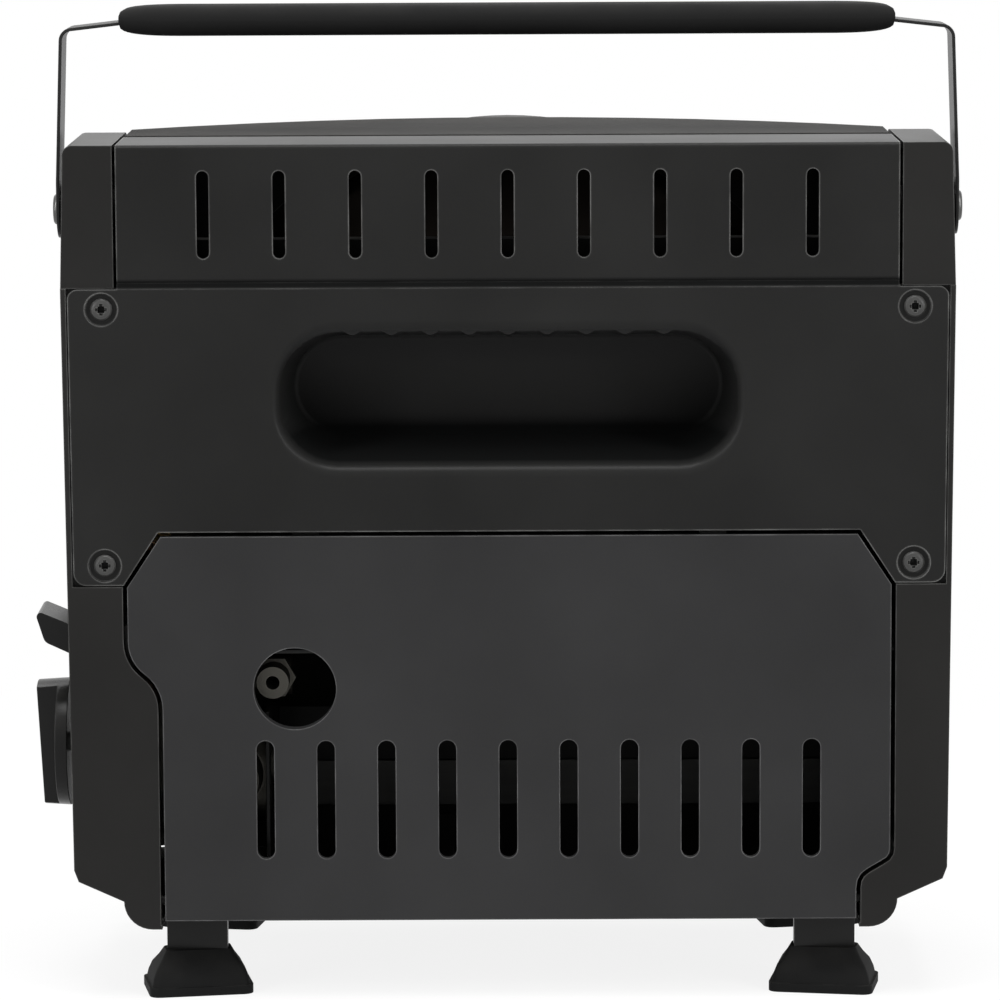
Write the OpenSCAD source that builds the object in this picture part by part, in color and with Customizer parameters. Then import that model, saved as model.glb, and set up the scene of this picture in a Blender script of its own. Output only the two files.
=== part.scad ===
// Portable propane heater: a radiant camping heater on four rubber shoes, with a carrying bail.
// Millimetres, +Z up. The burner shines towards -Y; the fuel door and grab recess face +Y.
// Places are first worked out in a drawing frame whose rear face is y = 0, where a depth d
// is measured forwards (y = -d); place() then centres the whole heater on the origin.

/* [Body] */
// Width over both side housings at the widest height
body_w = 260; // [250:1:280]
// Height of the flat top above the table
top_z = 253; // [251:0.5:256]
// Height of the underside above the table
base_z = 23.5; // [23:0.5:24]
// Height at which the side housings are widest
waist_z = 211.5; // [210:0.5:213]
// Draft of each side wall from the waist up to the top
top_draft = 1.1; // [0.6:0.1:1.4]
// Draft of each side wall from the waist down to the chamfer
base_draft = 1.4; // [0.8:0.1:1.6]
// Depth of the bowed front at the underside, on the centre line
base_depth = 120; // [118:0.5:124]
// Backward lean of the front, in degrees
lean = 8.5; // [8:0.25:9]
// Radius of the bow of the front, seen from above
bow_r = 472; // [440:4:520]
// Wall of the moulded housings and covers
wall = 2.2; // [2:0.1:2.4]
// Thickness of the pressed sheet parts
sheet = 1.2; // [1:0.1:1.3]
// Open joint between two fixed covers
joint_gap = 0.4; // [0.3:0.1:0.6]
// Open seam between the caps of the housings and what lies between them
cap_gap = 0.9; // [0.4:0.1:1.2]

/* [Side housings] */
// Width of the housing's cap that shows beside the rear cover
cap_w = 15.5; // [14:0.5:17]
// Radius from the flat top into the leaning front
shoulder_r = 17; // [15:0.5:19]
// Radius of the upright front corner
corner_r = 9; // [7:0.5:10]
// Thickness of the rear flange that the cover is screwed to
flange_t = 4.7; // [4.5:0.1:5]
// Half width at the foot of the bottom chamfer
chamfer_x = 114; // [113:0.5:115]
// Height at the top of the bottom chamfer
chamfer_top = 38; // [37:0.5:39]
// Height at the foot of the bottom chamfer
chamfer_foot = 30; // [29.5:0.5:31]
// Radius of the rounded rail along the bottom of each housing
rail_r = 8.4; // [8:0.2:9]

/* [Rear cover] */
// How far the upper slot panel lies behind the face of the cover
panel_step = 0.8; // [0.4:0.1:1]
// Depth of the cover's return over the top
return_d = 36; // [32:1:38]
// Upright slots in the upper panel
slot_count = 9; // [5:1:10]
// Distance between upper slots
slot_pitch = 22.1; // [18:0.1:23]
// Width of an upper slot
slot_w = 3.6; // [3:0.1:5]
// Height of the lower end of the upper slots
slot_low = 220; // [217:0.5:224]
// Height of the upper end of the upper slots
slot_high = 245.5; // [240:0.5:246]
// Distance of the cover screws from the centre line
screw_x = 118.2; // [117:0.1:119]
// Heights of the lower and the upper cover screws
screw_low = 130.2; // [129:0.1:132]
screw_high = 205.4; // [203:0.1:206]
// Radius of the sunk ring round a cover screw
screw_ring_r = 4.8; // [4:0.1:4.8]
// Width of the grab recess
grab_w = 134; // [124:1:140]
// Height of the underside of the recess mouth
grab_low = 159; // [157:0.5:161]
// Height of the finger edge of the recess
grab_high = 198.6; // [196:0.1:199]
// Depth of the recess
grab_d = 30; // [26:0.5:31]
// Corner radius of the recess
grab_r = 17; // [14:0.5:18]
// Rise of the recess floor towards its back
grab_rise = 6; // [2:0.5:7]
// How far the roof of the recess falls from its mouth to its back
grab_fall = 4; // [3:0.1:5]
// Draft of the recess ends
grab_draft = 3.4; // [2:0.2:4]
// Soft rim of the recess: how far it runs out above and below, beside it, and in depth
grab_rim = 3.3; // [2:0.1:4]
grab_rim_side = 2.3; // [1.5:0.1:3]
grab_rim_d = 3; // [2:0.1:4]
// Finger scallops along the upper edge, with a small ridge at each end of every scallop
scallops = 8; // [5:1:9]
// Distance between the ridges
scallop_pitch = 11.33; // [10:0.01:12]
// Height and width of a ridge
ridge_h = 0.9; // [0.6:0.1:1.2]
ridge_w = 4.4; // [3:0.1:5]

/* [Fuel door] */
// Shut gap round the door
door_gap = 1.3; // [1.1:0.1:1.5]
// Height of the line between the door and the cover
door_top = 139.3; // [138:0.1:140]
// Half width of the door along its top edge
door_top_x = 102.2; // [101:0.1:103]
// Half width of the door below its top corners
door_wide_x = 112.4; // [112:0.1:113]
// Height where the door's top corners meet its sides
door_corner_z = 123.9; // [123:0.1:125]
// Half width of the lower part of the door
door_low_x = 102.5; // [102:0.1:103]
// Radius of the fuel hose hole
hose_hole_r = 12.1; // [10:0.1:13]
// Sideways place of the hose hole
hose_x = 63; // [60:0.5:66]
// Height of the hose hole
hose_z = 93.5; // [92:0.5:95]
// Slots in the door
vent_count = 10; // [6:1:10]
// Distance between the door slots
vent_pitch = 17.83; // [14:0.05:18]
// Width of a door slot
vent_w = 5.2; // [4:0.1:6]
// Lower and upper ends of the door slots
vent_low = 42.7; // [41:0.1:46]
vent_high = 78; // [70:0.5:79]
// Sideways place of the middle of the row of slots
vent_mid_x = -8.35; // [-10:0.05:-6]
// Height of the door hinge above the table
hinge_z = 29.5; // [29:0.1:30]
// Depth of the door hinge behind the door's face
hinge_d = 5; // [4.8:0.1:5.5]
// Radius of the door hinge pins
hinge_pin_r = 1.5; // [1.3:0.1:1.8]

/* [Handle] */
// Depth of the bail's pivots
pivot_d = 50; // [48:0.5:52]
// Height of the bail's pivots
pivot_z = 230.6; // [229:0.2:232]
// Width of the bail's strap
strap_w = 17; // [15:0.5:18]
// Thickness of the strap
strap_t = 1; // [0.8:0.1:1.3]
// Height of the middle of the grip
grip_z = 286.9; // [285:0.1:292]
// Thickness of the grip
grip_t = 9; // [8.6:0.1:11]
// Width of the grip, front to back
grip_w = 21; // [19.5:0.5:24]
// Length of the grip over its pinched ends
grip_len = 229.8; // [210:0.2:236]
// Length of each pinched end
grip_taper = 20; // [14:0.5:24]

/* [Legs] */
// Distance of each leg from the centre line
leg_x = 93.4; // [92:0.1:95]
// Width of a leg
leg_w = 18; // [16:0.5:18.5]
// Depth of the rear and the front upright of a leg
leg_rear_d = 14.5; // [14:0.5:16]
leg_front_d = 109.5; // [100:0.5:110]
// Width, depth and height of a rubber shoe
shoe_w = 31; // [29.5:0.5:34]
shoe_d = 22; // [20:0.5:23]
shoe_h = 12.5; // [11.5:0.5:13]
// Toe-out of a shoe, in degrees
shoe_turn = 10; // [6:1:12]

/* [Burner] */
// Outer radius of the ring round the reflector
ring_r = 105.5; // [104:0.5:106]
// How far the ring stands out of the front
ring_proud = 4; // [3.5:0.1:5]
// Height of the middle of the reflector
dish_z = 150.9; // [150:0.1:151.5]
// Width of the ring's flat rim round the reflector
ring_land = 6.5; // [5.5:0.5:8]
// Depth of the reflector
dish_depth = 34.4; // [32:0.2:35]
// Radius of the opening in the middle of the reflector
dish_hole_r = 47.6; // [47.4:0.1:48.5]
// Radius of the burner cup
cup_r = 47; // [46.5:0.1:47.2]
// Radius of the mixing tube
tube_r = 7; // [6:0.2:7.4]

/* [Guard] */
// Radius of the wires across the guard
wire_r = 1.25; // [1:0.05:1.4]
// Radius of the guard's outer ring wire
hoop_wire_r = 1.6; // [1.4:0.05:1.8]
// Upright wires of the guard
wire_count = 9; // [5:2:9]
// Distance between the upright wires
wire_pitch = 20; // [16:0.5:21]
// How far the guard bows out
guard_bow = 12; // [10:0.5:14]

/* [Fuel bay] */
// Radius of the fuel cartridge that the bay holds
cartridge_r = 34; // [33:0.5:34]
// Depth of the cartridge's axis
cartridge_d = 39; // [38.5:0.5:40]
// Height of the cartridge's axis
cartridge_z = 64; // [64:0.5:66]
// Sideways place of the end of the cartridge that meets the regulator
mouth_x = 68; // [67:0.5:69]
// Length of the cartridge
cartridge_len = 184; // [180:1:185]
// Radius of the regulator's socket
socket_r = 2.1; // [2:0.1:2.3]

/* [Controls] */
// Depth of the valve's axis
valve_d = 30; // [29:0.5:31]
// Height of the valve's axis
valve_z = 72.8; // [72:0.2:73.4]
// Radius of the knob where it meets the side
knob_r = 18.8; // [17:0.1:19]
// Sideways place of the knob's outer face
knob_out_x = 141; // [139:0.2:144]
// How far the knob is pressed in to light the burner
knob_press = 2; // [1.5:0.1:2]
// Sideways place and height of the release lever's pivot
lever_x = 108; // [107.5:0.25:108.5]
lever_z = 104.6; // [104:0.2:105.4]
// Length of the lever's inner arm
lever_arm = 26; // [25:0.5:27]
// Swing of the lever, in degrees
lever_swing = 14; // [10:1:14]

/* [Hidden] */
$fn = 64;
fit = 0.05;                 // running clearance of shafts in their holes
seat = 0.3;                 // clearance of parts that sit loosely in each other
half_gap = door_gap / 2;
half_body = body_w / 2;
big = 400;                  // longer than the whole heater

// Heights and places that several parts share
cap_x = half_body - cap_w;              // inner edge of the housing caps
ear_x = half_body - 1.8;                // outer edge of the cover's ears at the waist
flange_x = screw_x - 10;                // inner edge of the rear flange under the ears
housing_in_x = leg_x + leg_w / 2 + joint_gap; // inner edge of the housings' bottom rail
front_edge_x = 113.4;                   // inner edge of the housings' front flange
recess_d = wall + seat;                 // depth of the ledge that the ears lie in
grab_mid = (grab_low + grab_high) / 2;
dish_r = ring_r - ring_land;  // radius of the reflector's rim
ring_in_r = dish_r - 0.5;
ring_wall = 1.2;
shield_d = grab_d + wall + 4.5;         // depth of the rear heat shield
hinge_pin_out = door_low_x + 8;
hinge_pin_in = door_low_x - 10;

// Half width of the body at a height
function half_w(z) = z < waist_z
    ? half_body - base_draft * (waist_z - z) / (waist_z - chamfer_top)
    : half_body - top_draft * (z - waist_z) / (top_z - waist_z);
// How far the bowed front falls back at a distance from the centre line
function bow(x, inset = 0) = sqrt(pow(bow_r - inset, 2) - x * x) - bow_r;
// Depth of the tangent plane of the front at a height
function front_d(z) = base_depth - (z - base_z) * tan(lean);
// Points of an arc
function arc(c, r, from, to, n = 8) =
    [for (i = [0:n]) let (a = from + (to - from) * i / n) c + r * [cos(a), sin(a)]];
function flip(p) = [for (i = [len(p) - 1:-1:0]) [-p[i][0], p[i][1]]];

dish_d = front_d(dish_z);
shoulder_z = top_z - shoulder_r;
shoulder_d = front_d(shoulder_z) + bow(front_edge_x) / cos(lean) - shoulder_r / cos(lean);
nose_r = 8;
rail_foot = chamfer_foot - rail_r;           // lowest line of the housings
nose_z = rail_foot + nose_r;
nose_d = front_d(nose_z) + bow(front_edge_x) / cos(lean) - nose_r / cos(lean);
rail_x = chamfer_x - rail_r;

// The guard's upright wires are arcs on the chord of the hoop
hoop_r = ring_r - ring_wall - hoop_wire_r - 1.6;
hoop_lift = ring_proud + hoop_wire_r + seat;
weld_gap = 0.3;              // where two wires cross
weld_lift = hoop_wire_r + wire_r + weld_gap;
guard_arc_r = (hoop_r * hoop_r + guard_bow * guard_bow) / (2 * guard_bow);

// Limits of the whole heater, which place() centres on the origin
screw_head_t = 1.4;
washer_t = 1;
boss_proud = 2.8;
strap_in_x = half_w(pivot_z) + boss_proud + washer_t;
strap_out_x = strap_in_x + strap_t;
side_limit = strap_out_x + screw_head_t;
front_limit = dish_d + (hoop_lift + weld_lift + guard_bow - guard_arc_r) * cos(lean)
    + guard_arc_r + wire_r;
mid_x = (knob_out_x - side_limit) / 2;
mid_y = -front_limit / 2;

lever_step = lever_arm * sin(lever_swing);   // travel of the sled under the lever
valve_x = [95, 121];                         // ends of the valve's block
valve_top = valve_z + 13.4;                  // height of the top of the valve's block
sled_rest_x = mouth_x - cartridge_len - 1;   // face that the cartridge's foot rests on

// Centres the heater on the origin
module place() { translate([-mid_x, -mid_y, 0]) children(); }
// Extrudes an outline drawn in X and Z between two depths
module slab(d0, d1) { translate([0, -d0, 0]) rotate([90, 0, 0]) linear_extrude(d1 - d0) children(); }
// Extrudes an outline drawn in Y and Z between two sideways places
module side_slab(x0, x1) {
    translate([x0, 0, 0]) rotate([90, 0, 90]) linear_extrude(x1 - x0) children();
}
// A cylinder along X, from x0 to x1, at a depth and a height
module rod_x(x0, x1, d, z, r, r2 = undef) {
    translate([x0, -d, z]) rotate([0, 90, 0])
        cylinder(h = x1 - x0, r1 = r, r2 = is_undef(r2) ? r : r2);
}
// A cylinder along Y, between two depths, at a sideways place and a height
module rod_y(x, d0, d1, z, r, r2 = undef) {
    translate([x, -d0, z]) rotate([90, 0, 0])
        cylinder(h = d1 - d0, r1 = r, r2 = is_undef(r2) ? r : r2);
}
// A block between two sideways places, two depths and two heights
module block(x, d, z) {
    translate([x[0], -d[1], z[0]]) cube([x[1] - x[0], d[1] - d[0], z[1] - z[0]]);
}
// The reflector's frame: x across, y up the leaning front, z out of it
module on_front() { translate([0, -dish_d, dish_z]) rotate([90 - lean, 0, 0]) children(); }
// Both sides of the heater
module both() { children(); mirror([1, 0, 0]) children(); }
// Corners of a w by d rectangle with its corners rounded in n steps
function round_ring(w, d, r, n = 4) = [for (q = [0:3], i = [0:n])
    let (a = 90 * (q + i / n), sx = q == 0 || q == 3 ? 1 : -1, sy = q < 2 ? 1 : -1)
    [sx * (w / 2 - r) + r * cos(a), sy * (d / 2 - r) + r * sin(a)]];
// A solid skinned over rings of equal length, anticlockwise seen from its last ring
module loft(rings) {
    n = len(rings[0]);
    top = (len(rings) - 1) * n;
    polyhedron([for (ring = rings) each ring], concat(
        [[for (j = [0:n - 1]) j]], [[for (j = [n - 1:-1:0]) top + j]],
        [for (i = [0:n:top - 1], j = [0:n - 1]) let (k = (j + 1) % n) each
            [[i + j, i + n + j, i + n + k], [i + j, i + n + k, i + k]]]));
}
// A slot with round ends, in X and Z
module slot_2d(x, low, high, w) {
    translate([x - w / 2, low + w / 2]) square([w, high - low - w]);
    translate([x, low + w / 2]) circle(r = w / 2);
    translate([x, high - w / 2]) circle(r = w / 2);
}

// ---- outlines ----

// Rounded corner of the cap, as [in from its side, down from its top, direction outwards]
cap_corner = [[0, 2.8, 0], [0.3, 1.55, 24], [1.05, 0.55, 52], [2.5, 0, 90]];
// Right half of the body seen from behind, e inside its skin, from inner_x outwards
function housing_face(e, inner_x) = concat(
    [[inner_x, rail_foot + e]],
    arc([rail_x, chamfer_foot], rail_r - e, -90, -8),
    [[chamfer_x - e * 0.6, chamfer_foot + e * 0.8],
     [half_w(chamfer_top) - 1.3 - e, chamfer_top - 2 + e * 0.3],
     [half_w(chamfer_top) - e, chamfer_top + 1.5],
     [half_body - e, waist_z],
     for (p = cap_corner) [half_w(top_z) - p[0] - e * cos(p[2]), top_z - p[1] - e * sin(p[2])]],
    [[inner_x, top_z - e]]);
// Body seen from the side, e inside its skin and rear inside its rear face, as [y, z]
function housing_side(e, rear) = concat(
    [[-rear, rail_foot + e], [-rear, top_z - e]],
    arc([-shoulder_d, shoulder_z], shoulder_r - e, 90, 180 - lean),
    arc([-nose_d, nose_z], nose_r - e, 180 - lean, 270));
// Right half of the body seen along the leaning front
corner_c = [half_body - corner_r,
    (bow_r - corner_r) * cos(asin((half_body - corner_r) / (bow_r - corner_r))) - bow_r];
function housing_plan(e, inner_x) = let (
    turn = asin((half_body - corner_r) / (bow_r - corner_r)))
    concat([[inner_x, -big / 2]],
        [for (i = [0:3]) let (x = inner_x + (half_body - corner_r - inner_x) * i / 3) [x, bow(x, e)]],
        arc(corner_c, corner_r - e, 90 - turn, 0, 6),
        [[half_body - e, -big / 2]]);

// Line round the fuel door, e inside it, from the right foot over the top to the left foot
s_drop = 20;                 // height of the S in the door's right side
s_top = 107.5;
s_in = door_wide_x - door_low_x;
s_r = (s_in * s_in + s_drop * s_drop) / (4 * s_in);
s_turn = asin(s_drop / 2 / s_r);
top_turn = atan2(door_top - door_corner_z, door_wide_x - door_top_x);
left_step_z = 42.6;          // height where the door's left side starts to step in
// Rounded step of the left side, as [out from the low part, up from the step, direction inwards]
left_step = [[s_in, 2.4, 0], [s_in - 0.3, 0.8, 15], [s_in - 1.2, -0.6, 38], [s_in - 2.8, -1.65, 59],
    [2.8, -4.2, 59], [1.2, -5.5, 42], [0.3, -7.2, 18], [0, -9.4, 0]];
function door_line(e) = concat(
    [[door_low_x - e, base_z + e], [door_low_x - e, s_top - s_drop]],
    arc([door_low_x + s_r, s_top - s_drop], s_r + e, 180, 180 - s_turn, 6),
    arc([door_wide_x - s_r, s_top], s_r - e, -s_turn, 0, 6),
    [[door_wide_x - e, door_corner_z - e * tan((90 - top_turn) / 2)],
     [door_top_x - e * tan(top_turn / 2), door_top - e],
     [-door_top_x + e * tan(top_turn / 2), door_top - e],
     [-door_wide_x + e, door_corner_z - e * tan((90 - top_turn) / 2)],
     for (p = left_step) [-door_low_x - p[0] + e * cos(p[2]), left_step_z + p[1] + e * sin(p[2])],
     [-door_low_x + e, base_z + e]]);

// ---- side housings ----

module housing_shell() {
    difference() {
        housing_solid(0, 0, housing_in_x);
        housing_solid(wall, flange_t, housing_in_x - 10);
        // openings between the two housings: top, front and rear
        block([0, cap_x], [-1, big], [top_z - wall - 1, top_z + 1]);
        on_front() translate([0, -big / 2, -34]) cube([front_edge_x, big, 60]);
        block([0, cap_x], [-1, flange_t + 1], [waist_z, top_z + 1]);
        block([0, flange_x], [-1, flange_t + 1], [door_corner_z - 2, waist_z + 1]);
        // ledge for the cover's ears, and the slightly sunk cap above it
        slab(-1, recess_d) polygon([[0, door_corner_z], [half_w(door_corner_z) - 1.6, door_corner_z],
            [ear_x + 0.2, waist_z], [0, waist_z]]);
        block([0, big], [-1, panel_step], [waist_z, top_z + 1]);
    }
    // screw bosses behind the flange
    for (z = [screw_low, screw_high]) rod_y(screw_x, flange_t - 0.01, 18, z, 4);
    // bail boss, outside and inside the wall
    rod_x(half_w(pivot_z) - wall, strap_in_x - washer_t, pivot_d, pivot_z, 8.5);
    rod_x(cap_x + 1, half_w(pivot_z) - wall + 0.1, pivot_d, pivot_z, 6);
    // hinge pin boss on the bottom rail
    block([door_low_x + 2.2, hinge_pin_out + 0.8], [flange_t - 0.01, 9.5],
        [base_z + 1.5, hinge_z + 4]);
}
module housing_solid(e, rear, inner_x) {
    intersection() {
        slab(-1, big) polygon(housing_face(e, inner_x));
        side_slab(inner_x - 1, big) polygon(housing_side(e, rear));
        on_front() translate([0, big / 2, 0]) rotate([90, 0, 0]) linear_extrude(big)
            polygon(housing_plan(e, inner_x - 1));
    }
}
// Holes that both housings have
module housing_holes() {
    for (z = [screw_low, screw_high]) rod_y(screw_x, 0, 16, z, 1.5 + fit);
    rod_x(cap_x, half_body + 5, pivot_d, pivot_z, 2.5 + fit);
    rod_x(hinge_pin_in, hinge_pin_out, hinge_d, hinge_z, hinge_pin_r + fit);
}
lever_window = [lever_z - 12.1, lever_z + 8.6];
module side_housing_right() {
    color([0.17, 0.168, 0.165]) difference() {
        union() {
            housing_shell();
            // posts that carry the control bracket
            for (p = bracket_posts) rod_x(bracket_x + sheet, half_w(p[1]) - wall + 0.1, p[0], p[1], 3.5);
        }
        housing_holes();
        slab(-1, flange_t + 1) polygon(door_line(-half_gap));
        rod_x(bracket_x, half_body + 5, valve_d, valve_z, 7);
        block([bracket_x + sheet, half_body + 5], [lever_front + 0.8 - lever_tab_w - 1.6,
            lever_front + 0.8], lever_window);
        for (p = bracket_posts) rod_x(bracket_x, post_hole_x, p[0], p[1], 1.25 + fit);
    }
}
module side_housing_left() {
    color([0.17, 0.168, 0.165]) difference() {
        mirror([1, 0, 0]) housing_shell();
        mirror([1, 0, 0]) housing_holes();
        slab(-1, flange_t + 1) polygon(door_line(-half_gap));
    }
}

// ---- rear cover ----

module cover_face() {
    ear_foot = half_w(door_corner_z) - 1.9;
    corner = 3.8;
    right = concat(
        [[door_top_x + half_gap * tan(top_turn / 2), door_top + half_gap],
         [door_wide_x + 0.4, door_corner_z + joint_gap]],
        arc([ear_foot - corner, door_corner_z + joint_gap + corner], corner, -90, 0, 6),
        arc([ear_x - 0.2 - 3, waist_z - 3.2], 3, 0, 90, 6),
        [[cap_x - cap_gap, waist_z - 0.2]]);
    polygon(concat(right, flip(right)));
}
// Ring of the grab recess at a depth: gx and gz wider than its walls there
function grab_ring(depth, gx, gz) = let (
    share = depth / grab_d,
    low = grab_low + grab_rise * max(share, 0) - gz,
    high = grab_high - grab_fall * max(share, 0) + gz,
    half = grab_w / 2 - grab_draft * share + gx,
    r = min(grab_r + (gx + gz) / 2, (high - low) / 2 - 0.3))
    [for (q = round_ring(2 * half, high - low, r, 8))
        [q[0], -depth, q[1] + (high + low) / 2]];
// The space of the grab recess, with its soft rim and a fillet round its back
grab_back_r = 1.5;
module grab_space() {
    start = 2;               // rings on the slope of the rim's first step, outside the face
    rim = [for (t = [22.5:22.5:90]) [grab_rim_d * (1 - cos(t)), 1 - sin(t)]];
    mouth = [-start * rim[0][0], rim[0][1] + (1 + start) * (1 - rim[0][1])];
    loft([for (c = concat([mouth], rim)) grab_ring(c[0], c[1] * grab_rim_side, c[1] * grab_rim),
        for (t = [0:30:90]) let (in = grab_back_r * (cos(t) - 1))
            grab_ring(grab_d - grab_back_r * (1 - sin(t)), in, in)]);
}
// Outer skin of the recess, behind the face of the cover
module grab_skin() {
    t = wall * 0.8;
    loft([grab_ring(0.3, t, t), grab_ring(grab_d - 1, t, t), grab_ring(grab_d + t, t - 2, t - 2)]);
}
// Small ridges between the finger scallops, hanging from the top of the recess
module finger_ridges() {
    tip = ridge_w * 0.2;
    foot = [ridge_w * 0.8, 0.8];          // hidden in the roof
    outline = [[-foot[0], foot[1]], [-tip, -ridge_h * 0.75], [0, -ridge_h],
        [tip, -ridge_h * 0.75], foot];
    for (i = [0:scallops]) loft([for (d = [grab_rim_d / 2, grab_d - 4]) [for (q = outline)
        [(i - scallops / 2) * scallop_pitch + q[0], -d, grab_high - grab_fall * d / grab_d + q[1]]]]);
}
module rear_cover() {
    color([0.16, 0.16, 0.158]) difference() {
        union() {
            slab(0, wall) cover_face();
            side_slab(-cap_x + cap_gap, cap_x - cap_gap) cover_side();
            grab_skin();
            // ledge that the door catches are screwed to
            block([-92, 92], [wall - 0.1, 15], [door_top + half_gap, door_top + half_gap + 2]);
        }
        difference() {
            grab_space();
            finger_ridges();
        }
        slab(-1, 6) for (i = [0:slot_count - 1])
            slot_2d((i - (slot_count - 1) / 2) * slot_pitch, slot_low, slot_high, slot_w);
        for (x = [-screw_x, screw_x], z = [screw_low, screw_high]) {
            rod_y(x, -1, 1.2, z, screw_ring_r);
            rod_y(x, 0, 5, z, 1.8);
        }
    }
}
// Upper panel and the return over the top, as [y, z], with a crease under the panel
crease = 0.35;
module cover_side() {
    r = 1.3;
    foot = waist_z - 0.21;
    polygon(concat([[0, foot], [-panel_step - crease, waist_z + 1.5], [-panel_step, waist_z + 2.8]],
        arc([-panel_step - r, top_z - r], r, 0, 90, 5),
        [[-return_d, top_z], [-return_d, top_z - wall]],
        arc([-panel_step - r, top_z - r], max(r - wall, 0.3), 90, 0, 3),
        [[-panel_step - wall, waist_z + 2.5], [-wall, foot]]));
}
// Screws with a domed head and a cross recess
cover_head_r = 3.2;
cross_reach = 1.7;
cross_w = 1;
module cover_screws() {
    color([0.1, 0.1, 0.1]) for (x = [-screw_x, screw_x], z = [screw_low, screw_high])
        difference() {
            union() {
                rod_y(x, 0.8, 1.2, z, cover_head_r);
                rod_y(x, 0.3, 0.81, z, cover_head_r * 0.86, cover_head_r);
                rod_y(x, 0, 0.31, z, cover_head_r * 0.6, cover_head_r * 0.86);
                rod_y(x, 1.19, 15, z, 1.5);
            }
            block([x - cross_reach, x + cross_reach], [-1, 0.9], [z - cross_w / 2, z + cross_w / 2]);
            block([x - cross_w / 2, x + cross_w / 2], [-1, 0.9], [z - cross_reach, z + cross_reach]);
            block([x - cross_w, x + cross_w], [-1, 2], [z - cross_w, z + cross_w]);
        }
}

// ---- top deck and front ----

deck_rear = return_d + 5.5;
deck_edge = 2.2;             // how far the deck stays behind the front
deck_crown = 2.4;
module top_deck() {
    half = cap_x - cap_gap;
    n = 12;                  // steps across
    m = 4;                   // steps front to back
    function deck_x(i) = -half + 2 * half * i / n;
    function deck_y(i, j) = let (front = front_d(top_z) - deck_edge + bow(deck_x(i)) / cos(lean))
        -(deck_rear + (front - deck_rear) * j / m);
    function deck_z(i, j) = top_z + deck_crown * (1 - pow(deck_x(i) / half, 2)) * pow(j / m, 1.5);
    upper = [for (i = [0:n], j = [0:m]) [deck_x(i), deck_y(i, j), deck_z(i, j)]];
    lower = [for (p = upper) p - [0, 0, sheet]];
    k = m + 1;
    count = (n + 1) * k;
    color([0.3, 0.29, 0.275]) polyhedron(concat(upper, lower), concat(
        [for (i = [0:n - 1], j = [0:m - 1]) each
            [[i * k + j, i * k + j + 1, (i + 1) * k + j + 1],
             [i * k + j, (i + 1) * k + j + 1, (i + 1) * k + j]]],
        [for (i = [0:n - 1], j = [0:m - 1]) each
            [[(i + 1) * k + j + 1 + count, i * k + j + 1 + count, i * k + j + count],
             [(i + 1) * k + j + count, (i + 1) * k + j + 1 + count, i * k + j + count]]],
        [for (i = [0:n - 1]) each [[i * k, (i + 1) * k, (i + 1) * k + count],
            [i * k, (i + 1) * k + count, i * k + count]]],
        [for (i = [0:n - 1]) each [[(i + 1) * k + m, i * k + m, i * k + m + count],
            [(i + 1) * k + m, i * k + m + count, (i + 1) * k + m + count]]],
        [for (j = [0:m - 1]) each [[j + 1, j, j + count], [j + 1, j + count, j + 1 + count]]],
        [for (j = [0:m - 1]) each [[n * k + j, n * k + j + 1, n * k + j + 1 + count],
            [n * k + j, n * k + j + 1 + count, n * k + j + count]]]));
}
// Everything behind the bowed front, inset from its skin
module behind_front(inset) {
    on_front() translate([0, big / 2, -bow_r]) rotate([90, 0, 0])
        cylinder(h = big, r = bow_r - inset, $fn = 256);
}
fascia_x = front_edge_x - joint_gap;
module front_fascia() {
    high = top_z - sheet - joint_gap;
    // returns along both sides, which close the shoulders of the housings
    color([0.13, 0.13, 0.13]) both() intersection() {
        behind_front(sheet / 2);
        side_slab(fascia_x - sheet, fascia_x) polygon([[-front_d(base_z), base_z + 4],
            [-front_d(base_z) + 26, base_z + 4], [-front_d(shoulder_z) + 26, shoulder_z - 14],
            [-shoulder_d, high], [-front_d(top_z), high]]);
    }
    color([0.13, 0.13, 0.13]) difference() {
        intersection() {
            difference() {
                behind_front(0);
                behind_front(sheet);
            }
            slab(40, 160) polygon(concat([[-fascia_x, base_z + 1.5], [fascia_x, base_z + 1.5]],
                [for (i = [0:12]) let (x = fascia_x * (1 - i / 6))
                    [x, top_z - sheet - joint_gap + deck_crown * (1 - pow(x / fascia_x, 2))]]));
        }
        on_front() translate([0, 0, -40]) cylinder(h = 60, r = ring_r + fit, $fn = 128);
    }
}
module bezel_ring() {
    color([0.12, 0.12, 0.12]) difference() {
        on_front() rotate_extrude($fn = 128) {
            translate([ring_r - ring_wall, -20]) square([ring_wall, 20 + ring_proud - 1]);
            translate([ring_in_r, ring_proud - ring_wall]) square([ring_r - ring_in_r - 1, ring_wall]);
            translate([ring_r - 1, ring_proud - 1]) circle(r = 1);
        }
        behind_front(sheet);
    }
}

// ---- burner ----

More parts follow.
